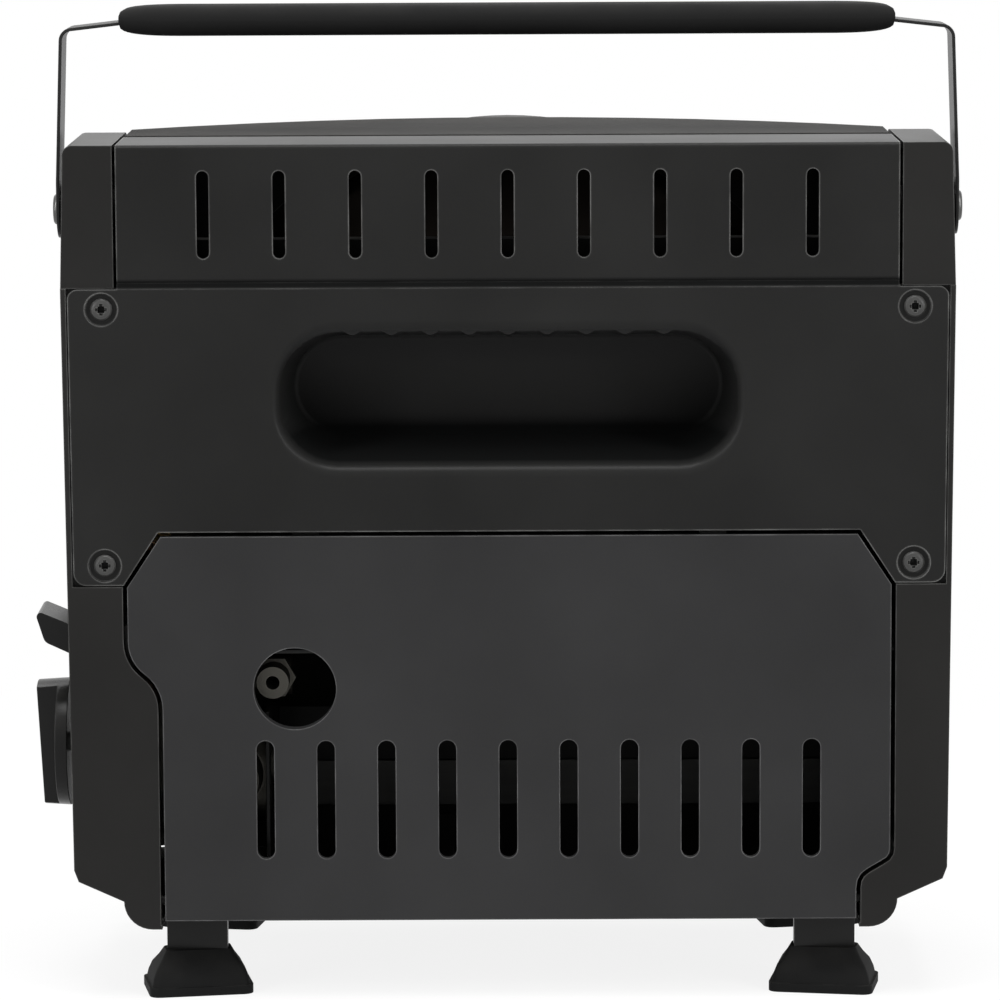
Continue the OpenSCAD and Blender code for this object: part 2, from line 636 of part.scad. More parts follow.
rim_z = ring_proud - ring_wall - 0.8;       // plane of the reflector's rim
dish_flat_r = cup_r + 6;                    // edge of the flat round the burner
bowl_c = (dish_r * dish_r - dish_flat_r * dish_flat_r - dish_depth * dish_depth) / (2 * dish_depth);
bowl_r = sqrt(dish_r * dish_r + bowl_c * bowl_c);
dish_t = 0.7;
flat_z = rim_z - dish_depth;
module reflector_dish() {
    color([0.8, 0.8, 0.8]) on_front() difference() {
        rotate_extrude($fn = 128) {
            intersection() {
                difference() {
                    translate([0, rim_z + bowl_c]) circle(r = bowl_r + dish_t, $fn = 128);
                    translate([0, rim_z + bowl_c]) circle(r = bowl_r, $fn = 128);
                }
                translate([dish_flat_r, flat_z - dish_t])
                    square([dish_r - dish_flat_r, dish_depth + dish_t]);
            }
            translate([dish_hole_r, flat_z - dish_t]) square([dish_flat_r + 0.3 - dish_hole_r, dish_t]);
            translate([dish_r - 0.2, rim_z - dish_t])
                square([ring_r - ring_wall - 0.3 - dish_r + 0.2, dish_t]);
        }
        for (s = [-1, 1]) translate([s * sensor_x, sensor_y, -60]) cylinder(h = 60, r = 3.3);
    }
}
cup_back = flat_z - 20.4;
module burner_cup() {
    color([0.45, 0.44, 0.42]) difference() {
        on_front() rotate_extrude($fn = 96) {
            translate([cup_r - 1, cup_back]) square([1, 33]);
            translate([0, cup_back]) square([cup_r, 1]);
            translate([cup_r - 0.5, flat_z - dish_t - 1]) square([7.5, 1]);
            translate([cup_r - 3, flat_z - 2.6]) square([2.5, 1]);
        }
        rod_x(0, cup_r + 5, tube_at[0], tube_at[1], tube_r + 0.1);
    }
}
plaque_z = flat_z - 1.5;
plaque_t = 12;
module ceramic_plaque() {
    color([0.86, 0.82, 0.74]) on_front() translate([0, 0, plaque_z])
        cylinder(h = plaque_t, r = cup_r - 1.5, $fn = 96);
}
screen_z = plaque_z + plaque_t + 1.4 + seat;
screen_wire_r = 0.6;
module burner_screen() {
    r = cup_r - 1.6;
    lift = screen_wire_r + 0.06; // the two layers of wires press together
    color([0.55, 0.5, 0.45]) on_front() {
        translate([0, 0, screen_z - 1.4]) difference() {
            cylinder(h = 2.8, r = r, $fn = 96);
            translate([0, 0, -1]) cylinder(h = 5, r = r - 1.2, $fn = 96);
        }
        for (i = [-4:4]) let (x = i * 9, half = sqrt(pow(r - screen_wire_r, 2) - x * x)) {
            translate([x, half, screen_z + lift]) rotate([90, 0, 0])
                cylinder(h = 2 * half, r = screen_wire_r, $fn = 16);
            translate([-half, x, screen_z - lift]) rotate([0, 90, 0])
                cylinder(h = 2 * half, r = screen_wire_r, $fn = 16);
        }
    }
}
// Depth and height of the mixing tube, which runs along X into the side of the cup
tube_drop = -15.5;
tube_sink = cup_back + tube_r + 2;
tube_at = [dish_d - tube_drop * sin(lean) + tube_sink * cos(lean),
    dish_z + tube_drop * cos(lean) + tube_sink * sin(lean)];
tube_end = 90;
module mixing_tube() {
    color([0.5, 0.5, 0.5]) difference() {
        union() {
            rod_x(41, tube_end - 8, tube_at[0], tube_at[1], tube_r);
            rod_x(tube_end - 8.01, tube_end, tube_at[0], tube_at[1], tube_r, tube_r + 3);
            // strap that holds the jet in front of the mouth
            block([tube_end - 0.01, tube_end + 12], [tube_at[0] - tube_r - 3, tube_at[0] - tube_r - 1.8],
                [tube_at[1] - 5, tube_at[1] + 5]);
            block([tube_end + 11, tube_end + 12], [tube_at[0] - tube_r - 3, tube_at[0] + 5],
                [tube_at[1] - 5, tube_at[1] + 5]);
        }
        rod_x(40, tube_end - 7.9, tube_at[0], tube_at[1], tube_r - 0.9);
        rod_x(tube_end - 8, tube_end + 0.1, tube_at[0], tube_at[1], tube_r - 0.9, tube_r + 2.2);
        rod_x(tube_end + 5, tube_end + 20, tube_at[0], tube_at[1], 3 + fit);
    }
}
jet_x = tube_end + 12;
module gas_jet() {
    color([0.78, 0.62, 0.3]) difference() {
        union() {
            rod_x(jet_x - 6, jet_x + 0.5, tube_at[0], tube_at[1], 3);
            rod_x(jet_x - 9, jet_x - 5.9, tube_at[0], tube_at[1], 1.4, 3);
            translate([jet_x + 0.4, -tube_at[0], tube_at[1]]) rotate([0, 90, 0])
                cylinder(h = 6, r = 5, $fn = 6);
        }
        rod_x(jet_x - 10, jet_x + 5.4, tube_at[0], tube_at[1], 0.5);
    }
}
pipe_r = 2.2;
pipe_x = 98.5;
jet_back = jet_x + 6.4;
// Corners of the pipe from the top of the valve, over the control bracket, to the jet
pipe_path = [[pipe_x, -valve_d, valve_top], [pipe_x, -valve_d, tube_at[1]],
    [pipe_x, -valve_d - 14, tube_at[1]], [jet_back + 9, -valve_d - 14, tube_at[1]],
    [jet_back + 9, -tube_at[0], tube_at[1]], [jet_back, -tube_at[0], tube_at[1]]];
module gas_pipe() {
    color([0.72, 0.5, 0.35]) for (i = [0:len(pipe_path) - 2])
        let (a = pipe_path[i], b = pipe_path[i + 1], run = b - a, flat = norm([run[0], run[1]])) {
            translate(a) rotate([0, flat > 0 ? 90 : 0, flat > 0 ? atan2(run[1], run[0]) : 0])
                cylinder(h = norm(run), r = pipe_r);
            if (i > 0) translate(a) sphere(r = pipe_r);
        }
}

// ---- guard and sensors ----

module guard_hoop() {
    color([0.8, 0.8, 0.82]) on_front() translate([0, 0, hoop_lift])
        rotate_extrude($fn = 96) translate([hoop_r, 0]) circle(r = hoop_wire_r, $fn = 24);
}
module guard_wires() {
    color([0.8, 0.8, 0.82]) on_front() {
        for (i = [0:wire_count - 1]) let (x = (i - (wire_count - 1) / 2) * wire_pitch)
            translate([x, 0, hoop_lift + weld_lift]) bowed_wire(sqrt(hoop_r * hoop_r - x * x));
        // one wire across, behind the upright ones and inside the hoop
        translate([0, 0, hoop_lift + weld_lift - 2 * wire_r - weld_gap]) rotate([0, 0, 90])
            bowed_wire(hoop_r - hoop_wire_r - weld_gap);
    }
}
// Wire in the plane x = 0 on a chord of the hoop, part of one common bow
module bowed_wire(half) {
    rise = guard_bow * pow(half / hoop_r, 2);
    r = (half * half + rise * rise) / (2 * rise);
    turn = asin(half / r);
    translate([0, 0, rise - r]) rotate([90, 0, 90]) rotate([0, 0, 90 - turn])
        rotate_extrude(angle = 2 * turn, $fn = 200) translate([r, 0]) circle(r = wire_r, $fn = 20);
}
clip_turn = acos((wire_count / 2 - 1) * wire_pitch / hoop_r); // between the outer two wires
clip_turns = [clip_turn, 180 - clip_turn, 180 + clip_turn, -clip_turn];
module guard_clips() {
    color([0.5, 0.5, 0.5]) on_front() for (a = clip_turns) rotate([0, 0, a]) difference() {
        translate([hoop_r - 2.8, -4, ring_proud]) cube([ring_r - hoop_r + 1.4, 8, 2 * hoop_wire_r + 1.4]);
        translate([hoop_r, 5, hoop_lift]) rotate([90, 0, 0]) cylinder(h = 10, r = hoop_wire_r + seat);
        translate([hoop_r - 6, -5, ring_proud - 1]) cube([6, 10, hoop_wire_r + 1 + seat]);
    }
}
sensor_x = 13;
sensor_y = -62;
module igniter_electrode() {
    color([0.9, 0.9, 0.88]) on_front() translate([sensor_x, sensor_y, 0]) {
        translate([0, 0, flat_z - 4]) cylinder(h = 18, r = 2.4);
        translate([0, 0, flat_z + 13.9]) cylinder(h = 6, r = 0.8);
        translate([0, 0.6, flat_z + 19]) rotate([-70, 0, 0]) cylinder(h = 12, r = 0.8);
    }
}
module thermocouple() {
    color([0.7, 0.62, 0.45]) on_front() translate([-sensor_x, sensor_y, 0]) {
        translate([0, 0, flat_z - 4]) cylinder(h = 14, r = 2.4);
        translate([0, 0, flat_z + 9.9]) cylinder(h = 9, r = 1.6);
        translate([0, 0.4, flat_z + 18]) rotate([-60, 0, 0]) cylinder(h = 11, r = 1.6);
    }
}
module sensor_bracket() {
    color([0.5, 0.5, 0.5]) on_front() difference() {
        translate([-sensor_x - 5, sensor_y - 5, flat_z - dish_t - 1.1 - sheet])
            cube([2 * sensor_x + 10, 17, sheet]);
        for (s = [-1, 1]) translate([s * sensor_x, sensor_y, flat_z - 8]) cylinder(h = 8, r = 2.4 + fit);
    }
}

// ---- shields and fuel bay ----

bay_top = 102.8;
bay_front = 76;
bay_rear = 7;                // depth at which the bay's top ends, behind the door
bay_left = -half_w(base_z + 20) + wall + 8;
bay_right = 71;
bay_gap = 0.7;               // gap between the cartridge and the folded shield
bay_turns = [41.8, 62.9];    // directions in which the two folds face
// Corners of the bay shield round the cartridge, as [y, z], from the front up to the top
function bay_fold(front, gap, top) = let (
    r = cartridge_r + gap,
    mid = (bay_turns[0] + bay_turns[1]) / 2,
    m = r / cos((bay_turns[1] - bay_turns[0]) / 2))
    [[-front, cartridge_z + (r - (front - cartridge_d) * cos(bay_turns[0])) / sin(bay_turns[0])],
     [-cartridge_d - m * cos(mid), cartridge_z + m * sin(mid)],
     [-cartridge_d - (r - (top - cartridge_z) * sin(bay_turns[1])) / cos(bay_turns[1]), top]];
function flip_rows(p) = [for (i = [len(p) - 1:-1:0]) p[i]];
module heat_shield() {
    half = cap_x - 19.5;
    top = slot_low + 2.4;
    lip = 8;                 // flange along the shield's upper edge
    color([0.55, 0.55, 0.55]) side_slab(-half, half) polygon([
        [-shield_d, bay_top + sheet], [-shield_d, top], [-shield_d - lip, top],
        [-shield_d - lip, top - sheet], [-shield_d - sheet, top - sheet],
        [-shield_d - sheet, bay_top + sheet]]);
}
module bay_shield() {
    color([0.5, 0.5, 0.5]) difference() {
        side_slab(bay_left, bay_right) polygon(concat(
            [[-bay_front, base_z + sheet]], bay_fold(bay_front, bay_gap, bay_top),
            [[-bay_rear, bay_top]], [[-bay_rear, bay_top + sheet]],
            flip_rows(bay_fold(bay_front + sheet, bay_gap + sheet, bay_top + sheet)),
            [[-bay_front - sheet, base_z + sheet]]));
        // corner that clears the rail of the left housing
        block([bay_left - 1, -housing_in_x + 1.5], [bay_front - 2, bay_front + 3], [base_z, 44]);
    }
}
module bay_end_plate() {
    color([0.5, 0.5, 0.5]) difference() {
        block([bay_right + seat, bay_right + seat + sheet], [pan_d[0] + sheet + seat, bay_front - 2.6],
            [base_z + sheet, 84]);
        rod_x(bay_right - 5, bay_right + 5, cartridge_d, cartridge_z, 14.5);
    }
}
cradle_x = [-78, 22];
module cartridge_cradle() {
    color([0.45, 0.45, 0.45]) for (x = cradle_x) difference() {
        block([x - 5, x + 5], [16, 66], [base_z + sheet, 44]);
        rod_x(x - 6, x + 6, cartridge_d, cartridge_z, cartridge_r + 0.4);
    }
}
// The sled that draws the cartridge onto the regulator, and away from it
sled_z = [44, 58];                      // heights of the sled's strip
sled_d = bay_front - 0.6 - sheet;       // depth of the strip, beside the bay shield
sled_end_x = lever_x + 5;
fork_d = 46.5;
module cartridge_sled() {
    color([0.6, 0.6, 0.6]) {
        block([sled_rest_x - sheet, sled_end_x], [sled_d, sled_d + sheet], sled_z);
        // face that the foot of the cartridge rests on
        block([sled_rest_x - sheet, sled_rest_x], [cartridge_d - 12, sled_d + sheet],
            [sled_z[0], cartridge_z + 9]);
        // bend towards the fork, and the fork itself
        block([sled_end_x - sheet, sled_end_x], [fork_d, sled_d + sheet], sled_z);
        difference() {
            block([lever_x - 5.5, sled_end_x], [fork_d, fork_d + sheet],
                [sled_z[0], lever_z - lever_arm + 5]);
            block([lever_x - 2.3, lever_x + 2.3], [fork_d - 1, fork_d + 3],
                [lever_z - lever_arm - 3.4, lever_z]);
        }
    }
}

// ---- regulator, valve and controls ----

reg_x = [bay_right + 2 * seat + sheet, valve_x[0] - seat];
bracket_x = 123;
bracket_posts = [[17, valve_z - 13], [54, valve_z - 13], [44, lever_z + 8]];
post_hole_x = half_w(valve_z) - 1.2;       // bottom of the screw holes in the posts
module regulator_body() {
    color([0.62, 0.62, 0.6]) difference() {
        union() {
            rod_x(reg_x[0], reg_x[1], cartridge_d, cartridge_z, 17);
            rod_x(mouth_x + 1, reg_x[0] + 0.1, cartridge_d, cartridge_z, 6);
            rod_y((reg_x[0] + reg_x[1]) / 2, cartridge_d - 17, cartridge_d, cartridge_z, 10.6);
            // branch that carries the hose inlet over the neck of the cartridge
            block([80, 88], [cartridge_d - 15, cartridge_d - 5], [cartridge_z + 8, hose_z - 6]);
            rod_x(hose_x + 2, 88, cartridge_d - 10, hose_z, 6.5);
        }
        rod_x(mouth_x, mouth_x + 10, cartridge_d, cartridge_z, socket_r);
        rod_y(hose_x + 7, 20, cartridge_d - 4, hose_z, 2);
    }
}
module regulator_cap() {
    color([0.75, 0.75, 0.73]) difference() {
        rod_y((reg_x[0] + reg_x[1]) / 2, cartridge_d - 28, cartridge_d - 17, cartridge_z, 9.5, 10.2);
        rod_y((reg_x[0] + reg_x[1]) / 2, cartridge_d - 29, cartridge_d - 27, cartridge_z, 4);
    }
}
module hose_inlet() {
    face = cartridge_d - 16.6;
    color([0.78, 0.62, 0.3]) difference() {
        union() {
            rod_y(hose_x + 7, face - 12, face - 3, hose_z, 4.8);
            translate([hose_x + 7, -face + 3.01, hose_z]) rotate([90, 0, 0])
                cylinder(h = 3, r = 6.6, $fn = 6);
        }
        rod_y(hose_x + 7, face - 13, face + 1, hose_z, 2);
    }
}
module valve_body() {
    color([0.7, 0.7, 0.68]) difference() {
        union() {
            block(valve_x, [valve_d - 11, valve_d + 12], [valve_z - 13, valve_top - 0.01]);
            rod_x(valve_x[1] - 0.1, bracket_x + sheet + 1, valve_d, valve_z, 5.5);
            rod_x(valve_x[1] - 0.1, bracket_x, valve_d, valve_z, 9);
        }
        rod_x(112, 130, valve_d, valve_z, spindle_r + fit);
        rod_x(99, 112.1, valve_d, valve_z, plunger_r + fit);
        translate([pipe_x, -valve_d, valve_z + 6]) cylinder(h = 20, r = 1.2);
    }
}
module control_bracket() {
    ear_d = [12, 57];
    color([0.55, 0.55, 0.55]) difference() {
        union() {
            block([bracket_x, bracket_x + sheet], [12, 58.2], [valve_z - 17, lever_z + 12]);
            block([bracket_x, bracket_x + sheet], [58, bay_front], [valve_z - 17, valve_z + 12]);
            for (d = ear_d) block([lever_x - 6, bracket_x + 0.1], [d, d + sheet],
                [lever_z - 6, lever_z + 6]);
        }
        rod_x(bracket_x - 1, bracket_x + 3, valve_d, valve_z, 5.5 + fit);
        for (d = ear_d) rod_y(lever_x, d - 1, d + 3, lever_z, 2 + fit);
        block([bracket_x - 1, bracket_x + 3], [13.3, 38], [lever_window[0] + 1.4, lever_window[1] - 0.4]);
        for (p = bracket_posts) rod_x(bracket_x - 1, bracket_x + 3, p[0], p[1], 1.25 + fit);
    }
}
module bracket_screws() {
    color([0.7, 0.7, 0.7]) for (p = bracket_posts) {
        rod_x(bracket_x - 0.05, post_hole_x - 0.3, p[0], p[1], 1.25);
        rod_x(bracket_x - 1.6, bracket_x, p[0], p[1], 1.9, 2.5);
    }
}
module piezo_igniter() {
    d = 67;                  // depth of the igniter's axis
    back = valve_x[0] + 1;   // end of its barrel
    collar = bracket_x - 5;  // face of the collar that is pressed into the bracket
    color([0.2, 0.2, 0.22]) {
        rod_x(back, collar, d, valve_z, 6);
        rod_x(collar - 0.1, bracket_x, d, valve_z, 7.2);
        rod_x(back - 4, back + 0.1, d, valve_z, 2.2);
    }
}
spindle_r = 3;
plunger_r = 2.4;
module push_plunger() {
    color([0.75, 0.62, 0.35]) rod_x(104, 112 + knob_press, valve_d, valve_z, plunger_r);
}
module valve_spindle() {
    color([0.75, 0.75, 0.75]) rod_x(112.1 + knob_press, knob_out_x - 3.5, valve_d, valve_z, spindle_r);
}
knob_in_x = half_w(valve_z) + knob_press + 0.3;
module control_knob() {
    bar = 13;                // width of the bar that the knob is turned by
    skirt = 3.6;             // thickness of the round part behind the bar
    slant = 2;               // fall of the bar's face from its pointing end
    reach = 2 * knob_r;      // past the knob on every side
    low = [valve_z - reach, valve_z - knob_r];
    high = [valve_z + knob_r, valve_z + reach];
    color([0.12, 0.12, 0.12]) difference() {
        rod_x(knob_in_x, knob_out_x, valve_d, valve_z, knob_r + 0.3, knob_r - 0.3);
        for (s = [-1, 1]) block([knob_in_x + skirt, knob_out_x + 1],
            [valve_d + min(s * bar / 2, s * reach), valve_d + max(s * bar / 2, s * reach)],
            [low[0], high[1]]);
        // the end of the bar that points to the setting stands further out
        slab(valve_d - reach, valve_d + reach) polygon([[knob_out_x, high[0]],
            [knob_out_x - slant, low[1]], [knob_out_x - slant, low[0]], [knob_out_x + 5, low[0]],
            [knob_out_x + 5, high[1]], [knob_out_x, high[1]]]);
        rod_x(knob_in_x - 1, knob_out_x - 3, valve_d, valve_z, spindle_r + 0.02);
    }
}
lever_front = 36;
lever_tab_w = 22;
lever_out_x = knob_out_x - 1.3;
module lock_lever() {
    h = half_w(lever_z);
    color([0.13, 0.13, 0.13]) difference() {
        union() {
            slab(lever_front - lever_tab_w, lever_front) polygon(concat(
                [[lever_x + 1, lever_z - 5.5], [lever_x + 12, lever_z - 5.2], [h - 1, lever_z - 3.6],
                 [h + 0.3, lever_z - 2.9]],
                arc([lever_out_x - 4.6, lever_z + 2.8], 2.8, -60, -15, 3),
                arc([lever_out_x - 1.3, lever_z + 8.3], 1.3, -10, 100, 5),
                [[h + 0.3, lever_z + 5.9], [h - 1, lever_z + 5.5], [lever_x + 12, lever_z + 5.5],
                 [lever_x + 1, lever_z + 5.5]]));
            rod_y(lever_x, 14, 56.4, lever_z, 5.5);
            block([lever_x - 3, lever_x + 3], [50.2, 53], [lever_z - lever_arm - 3, lever_z]);
            rod_y(lever_x, fork_d - 1, 50.3, lever_z - lever_arm, 2);
        }
        rod_y(lever_x, 10, 60, lever_z, 2 + fit);
    }
}
module lever_pivot_pin() {
    color([0.7, 0.7, 0.7]) {
        rod_y(lever_x, 10.8, 59.5, lever_z, 2);
        rod_y(lever_x, 9.8, 11.9, lever_z, 3.4);
    }
}

// ---- door ----

module fuel_door() {
    color([0.21, 0.21, 0.21]) difference() {
        union() {
            slab(0, wall) polygon(door_line(half_gap));
            // stiffening rib round the inside
            slab(wall - 0.1, wall + 3.5) difference() {
                polygon(door_line(half_gap + 1.5));
                polygon(door_line(half_gap + 3));
                translate([-big / 2, base_z - 1]) square([big, 14]);
            }
            rod_y(hose_x, wall - 0.1, wall + 2.2, hose_z, hose_hole_r + 1.6);
            for (s = [-1, 1]) {
                ear = s < 0 ? [-hinge_pin_in - 6.5, -hinge_pin_in - 1]
                    : [hinge_pin_in + 1, hinge_pin_in + 6.5];
                rod_x(ear[0], ear[1], hinge_d, hinge_z, 3.2);
                block(ear, [wall - 0.1, hinge_d], [hinge_z - 3, hinge_z + 3.2]);
                // tongue that the catch holds
                block([s * catch_x - 6, s * catch_x + 6], [wall - 0.1, wall + 8],
                    [door_top - 5.4, door_top - 3.6]);
            }
        }
        slab(-1, wall + 4) for (i = [0:vent_count - 1])
            slot_2d(vent_mid_x + (i - (vent_count - 1) / 2) * vent_pitch, vent_low, vent_high,
                vent_w);
        rod_y(hose_x, -1, 8, hose_z, hose_hole_r);
        rod_x(-big, big, hinge_d, hinge_z, hinge_pin_r + fit);
    }
}
catch_x = 60;
module door_catches() {
    spring = 0.8;            // thickness of the bent spring strip
    high = door_top + half_gap;
    low = door_top - 6.6;
    color([0.7, 0.7, 0.7]) for (s = [-1, 1]) let (x = [s * catch_x - 4, s * catch_x + 4]) {
        block(x, [wall + 2.5, wall + 12], [high - spring, high]);
        block(x, [wall + 12 - spring, wall + 12], [low, high]);
        block(x, [wall + 4.5, wall + 12], [low - 0.1, low - 0.1 + spring]);
    }
}
module door_hinge_pins() {
    color([0.7, 0.7, 0.7]) both() rod_x(hinge_pin_in, hinge_pin_out - 0.3, hinge_d, hinge_z, hinge_pin_r);
}

// ---- base, legs and shoes ----

pan_d = [13, 125];
module base_pan() {
    x = housing_in_x - joint_gap;
    ear = fascia_x - joint_gap;
    ear_d = front_d(base_z) - 33.5;
    color([0.3, 0.3, 0.3]) intersection() {
        behind_front(sheet + joint_gap);
        difference() {
            union() {
                block([-x, x], pan_d, [base_z, base_z + sheet]);
                // ears that close the floor in front of the housings
                block([-ear, ear], [ear_d, pan_d[1]], [base_z, base_z + sheet]);
                block([-x, x], [pan_d[0], pan_d[0] + sheet], [base_z, base_z + 7]);
                block([-x, x], [pan_d[1] - 20, pan_d[1] - 20 + sheet], [base_z, base_z + 9]);
            }
            for (x = [-leg_x, leg_x], d = leg_screw_d) translate([x, -d, 0]) cylinder(h = 30, r = 1.8);
            for (i = [-3:3]) block([i * 20 - 2, i * 20 + 2], [80, 98], [base_z - 1, base_z + 3]);
        }
    }
}
leg_screw_d = [30, 86];
leg_t = 1.5;
module leg(side) {
    lip = 5;                 // depth of the stiffening flange along the outer edge
    color([0.12, 0.12, 0.12]) difference() {
        union() {
            block([-leg_w / 2, leg_w / 2], [leg_rear_d, leg_front_d + leg_t], [base_z - leg_t, base_z]);
            block([-leg_w / 2, leg_w / 2], [leg_rear_d, leg_rear_d + leg_t], [4, base_z]);
            block([-leg_w / 2, leg_w / 2], [leg_front_d, leg_front_d + leg_t], [4, base_z]);
            for (s = [-1, 1]) {
                block([s * (leg_w - leg_t) / 2 - leg_t / 2, s * (leg_w - leg_t) / 2 + leg_t / 2],
                    [leg_rear_d, leg_rear_d + lip], [4, base_z]);
                block([s * (leg_w - leg_t) / 2 - leg_t / 2, s * (leg_w - leg_t) / 2 + leg_t / 2],
                    [leg_front_d + leg_t - lip, leg_front_d + leg_t], [4, base_z]);
            }
        }
        for (d = leg_screw_d) translate([0, -d, 0]) cylinder(h = 30, r = 1.8);
    }
}
module leg_right() { translate([leg_x, 0, 0]) leg(1); }
module leg_left() { translate([-leg_x, 0, 0]) leg(-1); }
module leg_screws() {
    color([0.3, 0.3, 0.3]) for (x = [-leg_x, leg_x], d = leg_screw_d) translate([x, -d, 0]) {
        translate([0, 0, base_z - leg_t - 2]) cylinder(h = 2, r1 = 2.2, r2 = 3.4);
        translate([0, 0, base_z - leg_t - 0.1]) cylinder(h = leg_t + sheet + 0.1, r = 1.7);
        translate([0, 0, base_z + sheet]) cylinder(h = 1.2, r = 3.1, $fn = 6);
    }
}
// Sections of a shoe from the floor up, as [height, width, depth, corner radius]
shoe_sections = [[0, shoe_w, shoe_d, 3], [2.6, shoe_w, shoe_d, 3], [2.7, shoe_w - 1.6, shoe_d - 1.6, 2.6],
    [0.4 * shoe_h, shoe_w - 2.6, shoe_d - 3, 2.4], [0.6 * shoe_h, shoe_w - 4.6, shoe_d - 5.2, 2.2],
    [0.8 * shoe_h, leg_w + 4.8, 12.2, 2], [shoe_h, leg_w + 1.9, 8.4, 1.6]];
module shoe() {
    difference() {
        loft([for (c = shoe_sections) [for (q = round_ring(c[1], c[2], c[3])) [q[0], q[1], c[0]]]]);
        rotate([0, 0, -shoe_turn]) translate([-leg_w / 2 - 0.15, -2.65, 3.9]) cube([leg_w + 0.3, 5.3, 20]);
    }
}
module rubber_shoes() {
    color([0.06, 0.06, 0.06]) for (s = [-1, 1], f = [0, 1])
        translate([s * leg_x, f == 0 ? -leg_rear_d - 2.5 : -leg_front_d - leg_t + 2.5, 0])
            rotate([0, 0, (f == 0 ? s : -s) * shoe_turn]) mirror([s < 0 ? 1 : 0, 0, 0])
                mirror([0, f, 0]) shoe();
}

// ---- bail handle ----

strap_bend = 4;
strap_top = grip_z - 1.8;               // height of the strap at its corners
strap_mid = grip_z - 0.2;               // height of the strap inside the grip
strap_lean = 1.5;                       // how far each arm leans in towards its corner
corner_x = strap_out_x - strap_lean;    // outer face of the strap at its corners
module strap_top_2d() {
    in = corner_x - strap_bend;
    rise_x = grip_len / 2;
    polygon([[rise_x, strap_mid - strap_t], [in, strap_top - strap_t], [in, strap_top],
        [rise_x, strap_mid]]);
}
module handle_strap() {
    bend = [corner_x - strap_bend, strap_top - strap_bend];
    color([0.1, 0.1, 0.1]) difference() {
        both() {
            rod_x(strap_in_x, strap_out_x, pivot_d, pivot_z, strap_w / 2);
            slab(pivot_d - strap_w / 2, pivot_d + strap_w / 2) {
                polygon([[strap_in_x, pivot_z], [strap_out_x, pivot_z], [strap_out_x, pivot_z + strap_w / 2],
                    [corner_x, bend[1]], [corner_x - strap_t, bend[1]],
                    [strap_in_x, pivot_z + strap_w / 2]]);
                intersection() {
                    difference() {
                        translate(bend) circle(r = strap_bend);
                        translate(bend) circle(r = strap_bend - strap_t);
                    }
                    translate(bend) square(strap_bend + 1);
                }
                strap_top_2d();
                translate([0, strap_mid - strap_t]) square([grip_len / 2, strap_t]);
            }
        }
        rod_x(-big, big, pivot_d, pivot_z, 2.5 + fit);
    }
}
// Share of the full thickness at shares of the way from a pinched end to the full grip
grip_pinch = [[0, 0.24], [0.1, 0.4], [0.25, 0.62], [0.42, 0.79], [0.62, 0.91], [0.84, 0.98], [1, 1]];
// Ring of points round the grip on side s, at step i from its pinched end
function grip_ring(s, i) = let (
    share = grip_pinch[i][1],
    strap = strap_mid - strap_t / 2,
    z = strap + (grip_z - strap) * share)
    [for (q = round_ring(grip_w - 2 * (1 - share), grip_t * share, grip_t * share / 2 - 0.1))
        [s * (grip_len / 2 - grip_taper * grip_pinch[i][0]), q[0] - pivot_d, q[1] + z]];
module handle_grip() {
    last = len(grip_pinch) - 1;
    color([0.14, 0.14, 0.14]) difference() {
        loft(concat([for (i = [0:last]) grip_ring(-1, i)], [for (i = [last:-1:0]) grip_ring(1, i)]));
        block([-big, big], [pivot_d - strap_w / 2 - 0.15, pivot_d + strap_w / 2 + 0.15],
            [strap_mid - strap_t - 0.15, strap_mid + 0.15]);
    }
}
module handle_washers() {
    color([0.6, 0.6, 0.6]) both() difference() {
        rod_x(strap_in_x - washer_t, strap_in_x - 0.05, pivot_d, pivot_z, 7);
        rod_x(strap_in_x - 2, strap_in_x + 1, pivot_d, pivot_z, 2.5 + fit);
    }
}
module handle_screws() {
    color([0.65, 0.65, 0.65]) both() difference() {
        union() {
            rod_x(cap_x + 2, strap_out_x + 0.1, pivot_d, pivot_z, 2.5);
            translate([strap_out_x + 0.05, -pivot_d, pivot_z]) rotate([0, 90, 0]) rotate_extrude()
                polygon(concat([[0, 0], [4.6, 0]], arc([3.5, screw_head_t - 1.15], 1.1, 0, 90, 4),
                    [[0, screw_head_t - 0.05]]));
        }
        for (half = [[2.4, 0.5], [0.5, 2.4]]) block([strap_out_x + screw_head_t / 2, strap_out_x + 5],
            [pivot_d - half[0], pivot_d + half[0]], [pivot_z - half[1], pivot_z + half[1]]);
    }
}

place() side_housing_right();
place() side_housing_left();
place() rear_cover();
place() cover_screws();
place() top_deck();
place() front_fascia();
place() bezel_ring();
place() reflector_dish();
place() burner_cup();
place() ceramic_plaque();
place() burner_screen();
place() mixing_tube();
place() gas_jet();
place() gas_pipe();
place() guard_hoop();
place() guard_wires();
place() guard_clips();
place() igniter_electrode();
place() thermocouple();
place() sensor_bracket();
place() heat_shield();
place() bay_shield();
place() bay_end_plate();
place() cartridge_cradle();
place() regulator_body();
place() regulator_cap();
place() hose_inlet();
place() valve_body();
place() control_bracket();
place() bracket_screws();
place() piezo_igniter();
place() lever_pivot_pin();
place() base_pan();
place() leg_right();
place() leg_left();
place() leg_screws();
place() rubber_shoes();
place() door_hinge_pins();
place() door_catches();
place() handle_screws();
place() handle_washers();
place() handle_strap();
place() handle_grip();
place() fuel_door();
place() lock_lever();
place() cartridge_sled();
place() push_plunger();
place() valve_spindle();
place() control_knob();
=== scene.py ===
# %% [markdown]
# # A portable propane heater
#
# A camping heater that stands on four rubber shoes. Its burner shines out of the leaning front.
# Its back carries nine air slots, a grab recess and a fuel door with ten more slots. The packed
# model already holds every part at its real size, so this lesson adds the looks: finishes, soft
# edges, a finer grip, lamps and a camera. Lengths are metres unless a comment says otherwise,
# and +Z is up.

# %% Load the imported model
import math

import bpy
from mathutils import Matrix, Vector


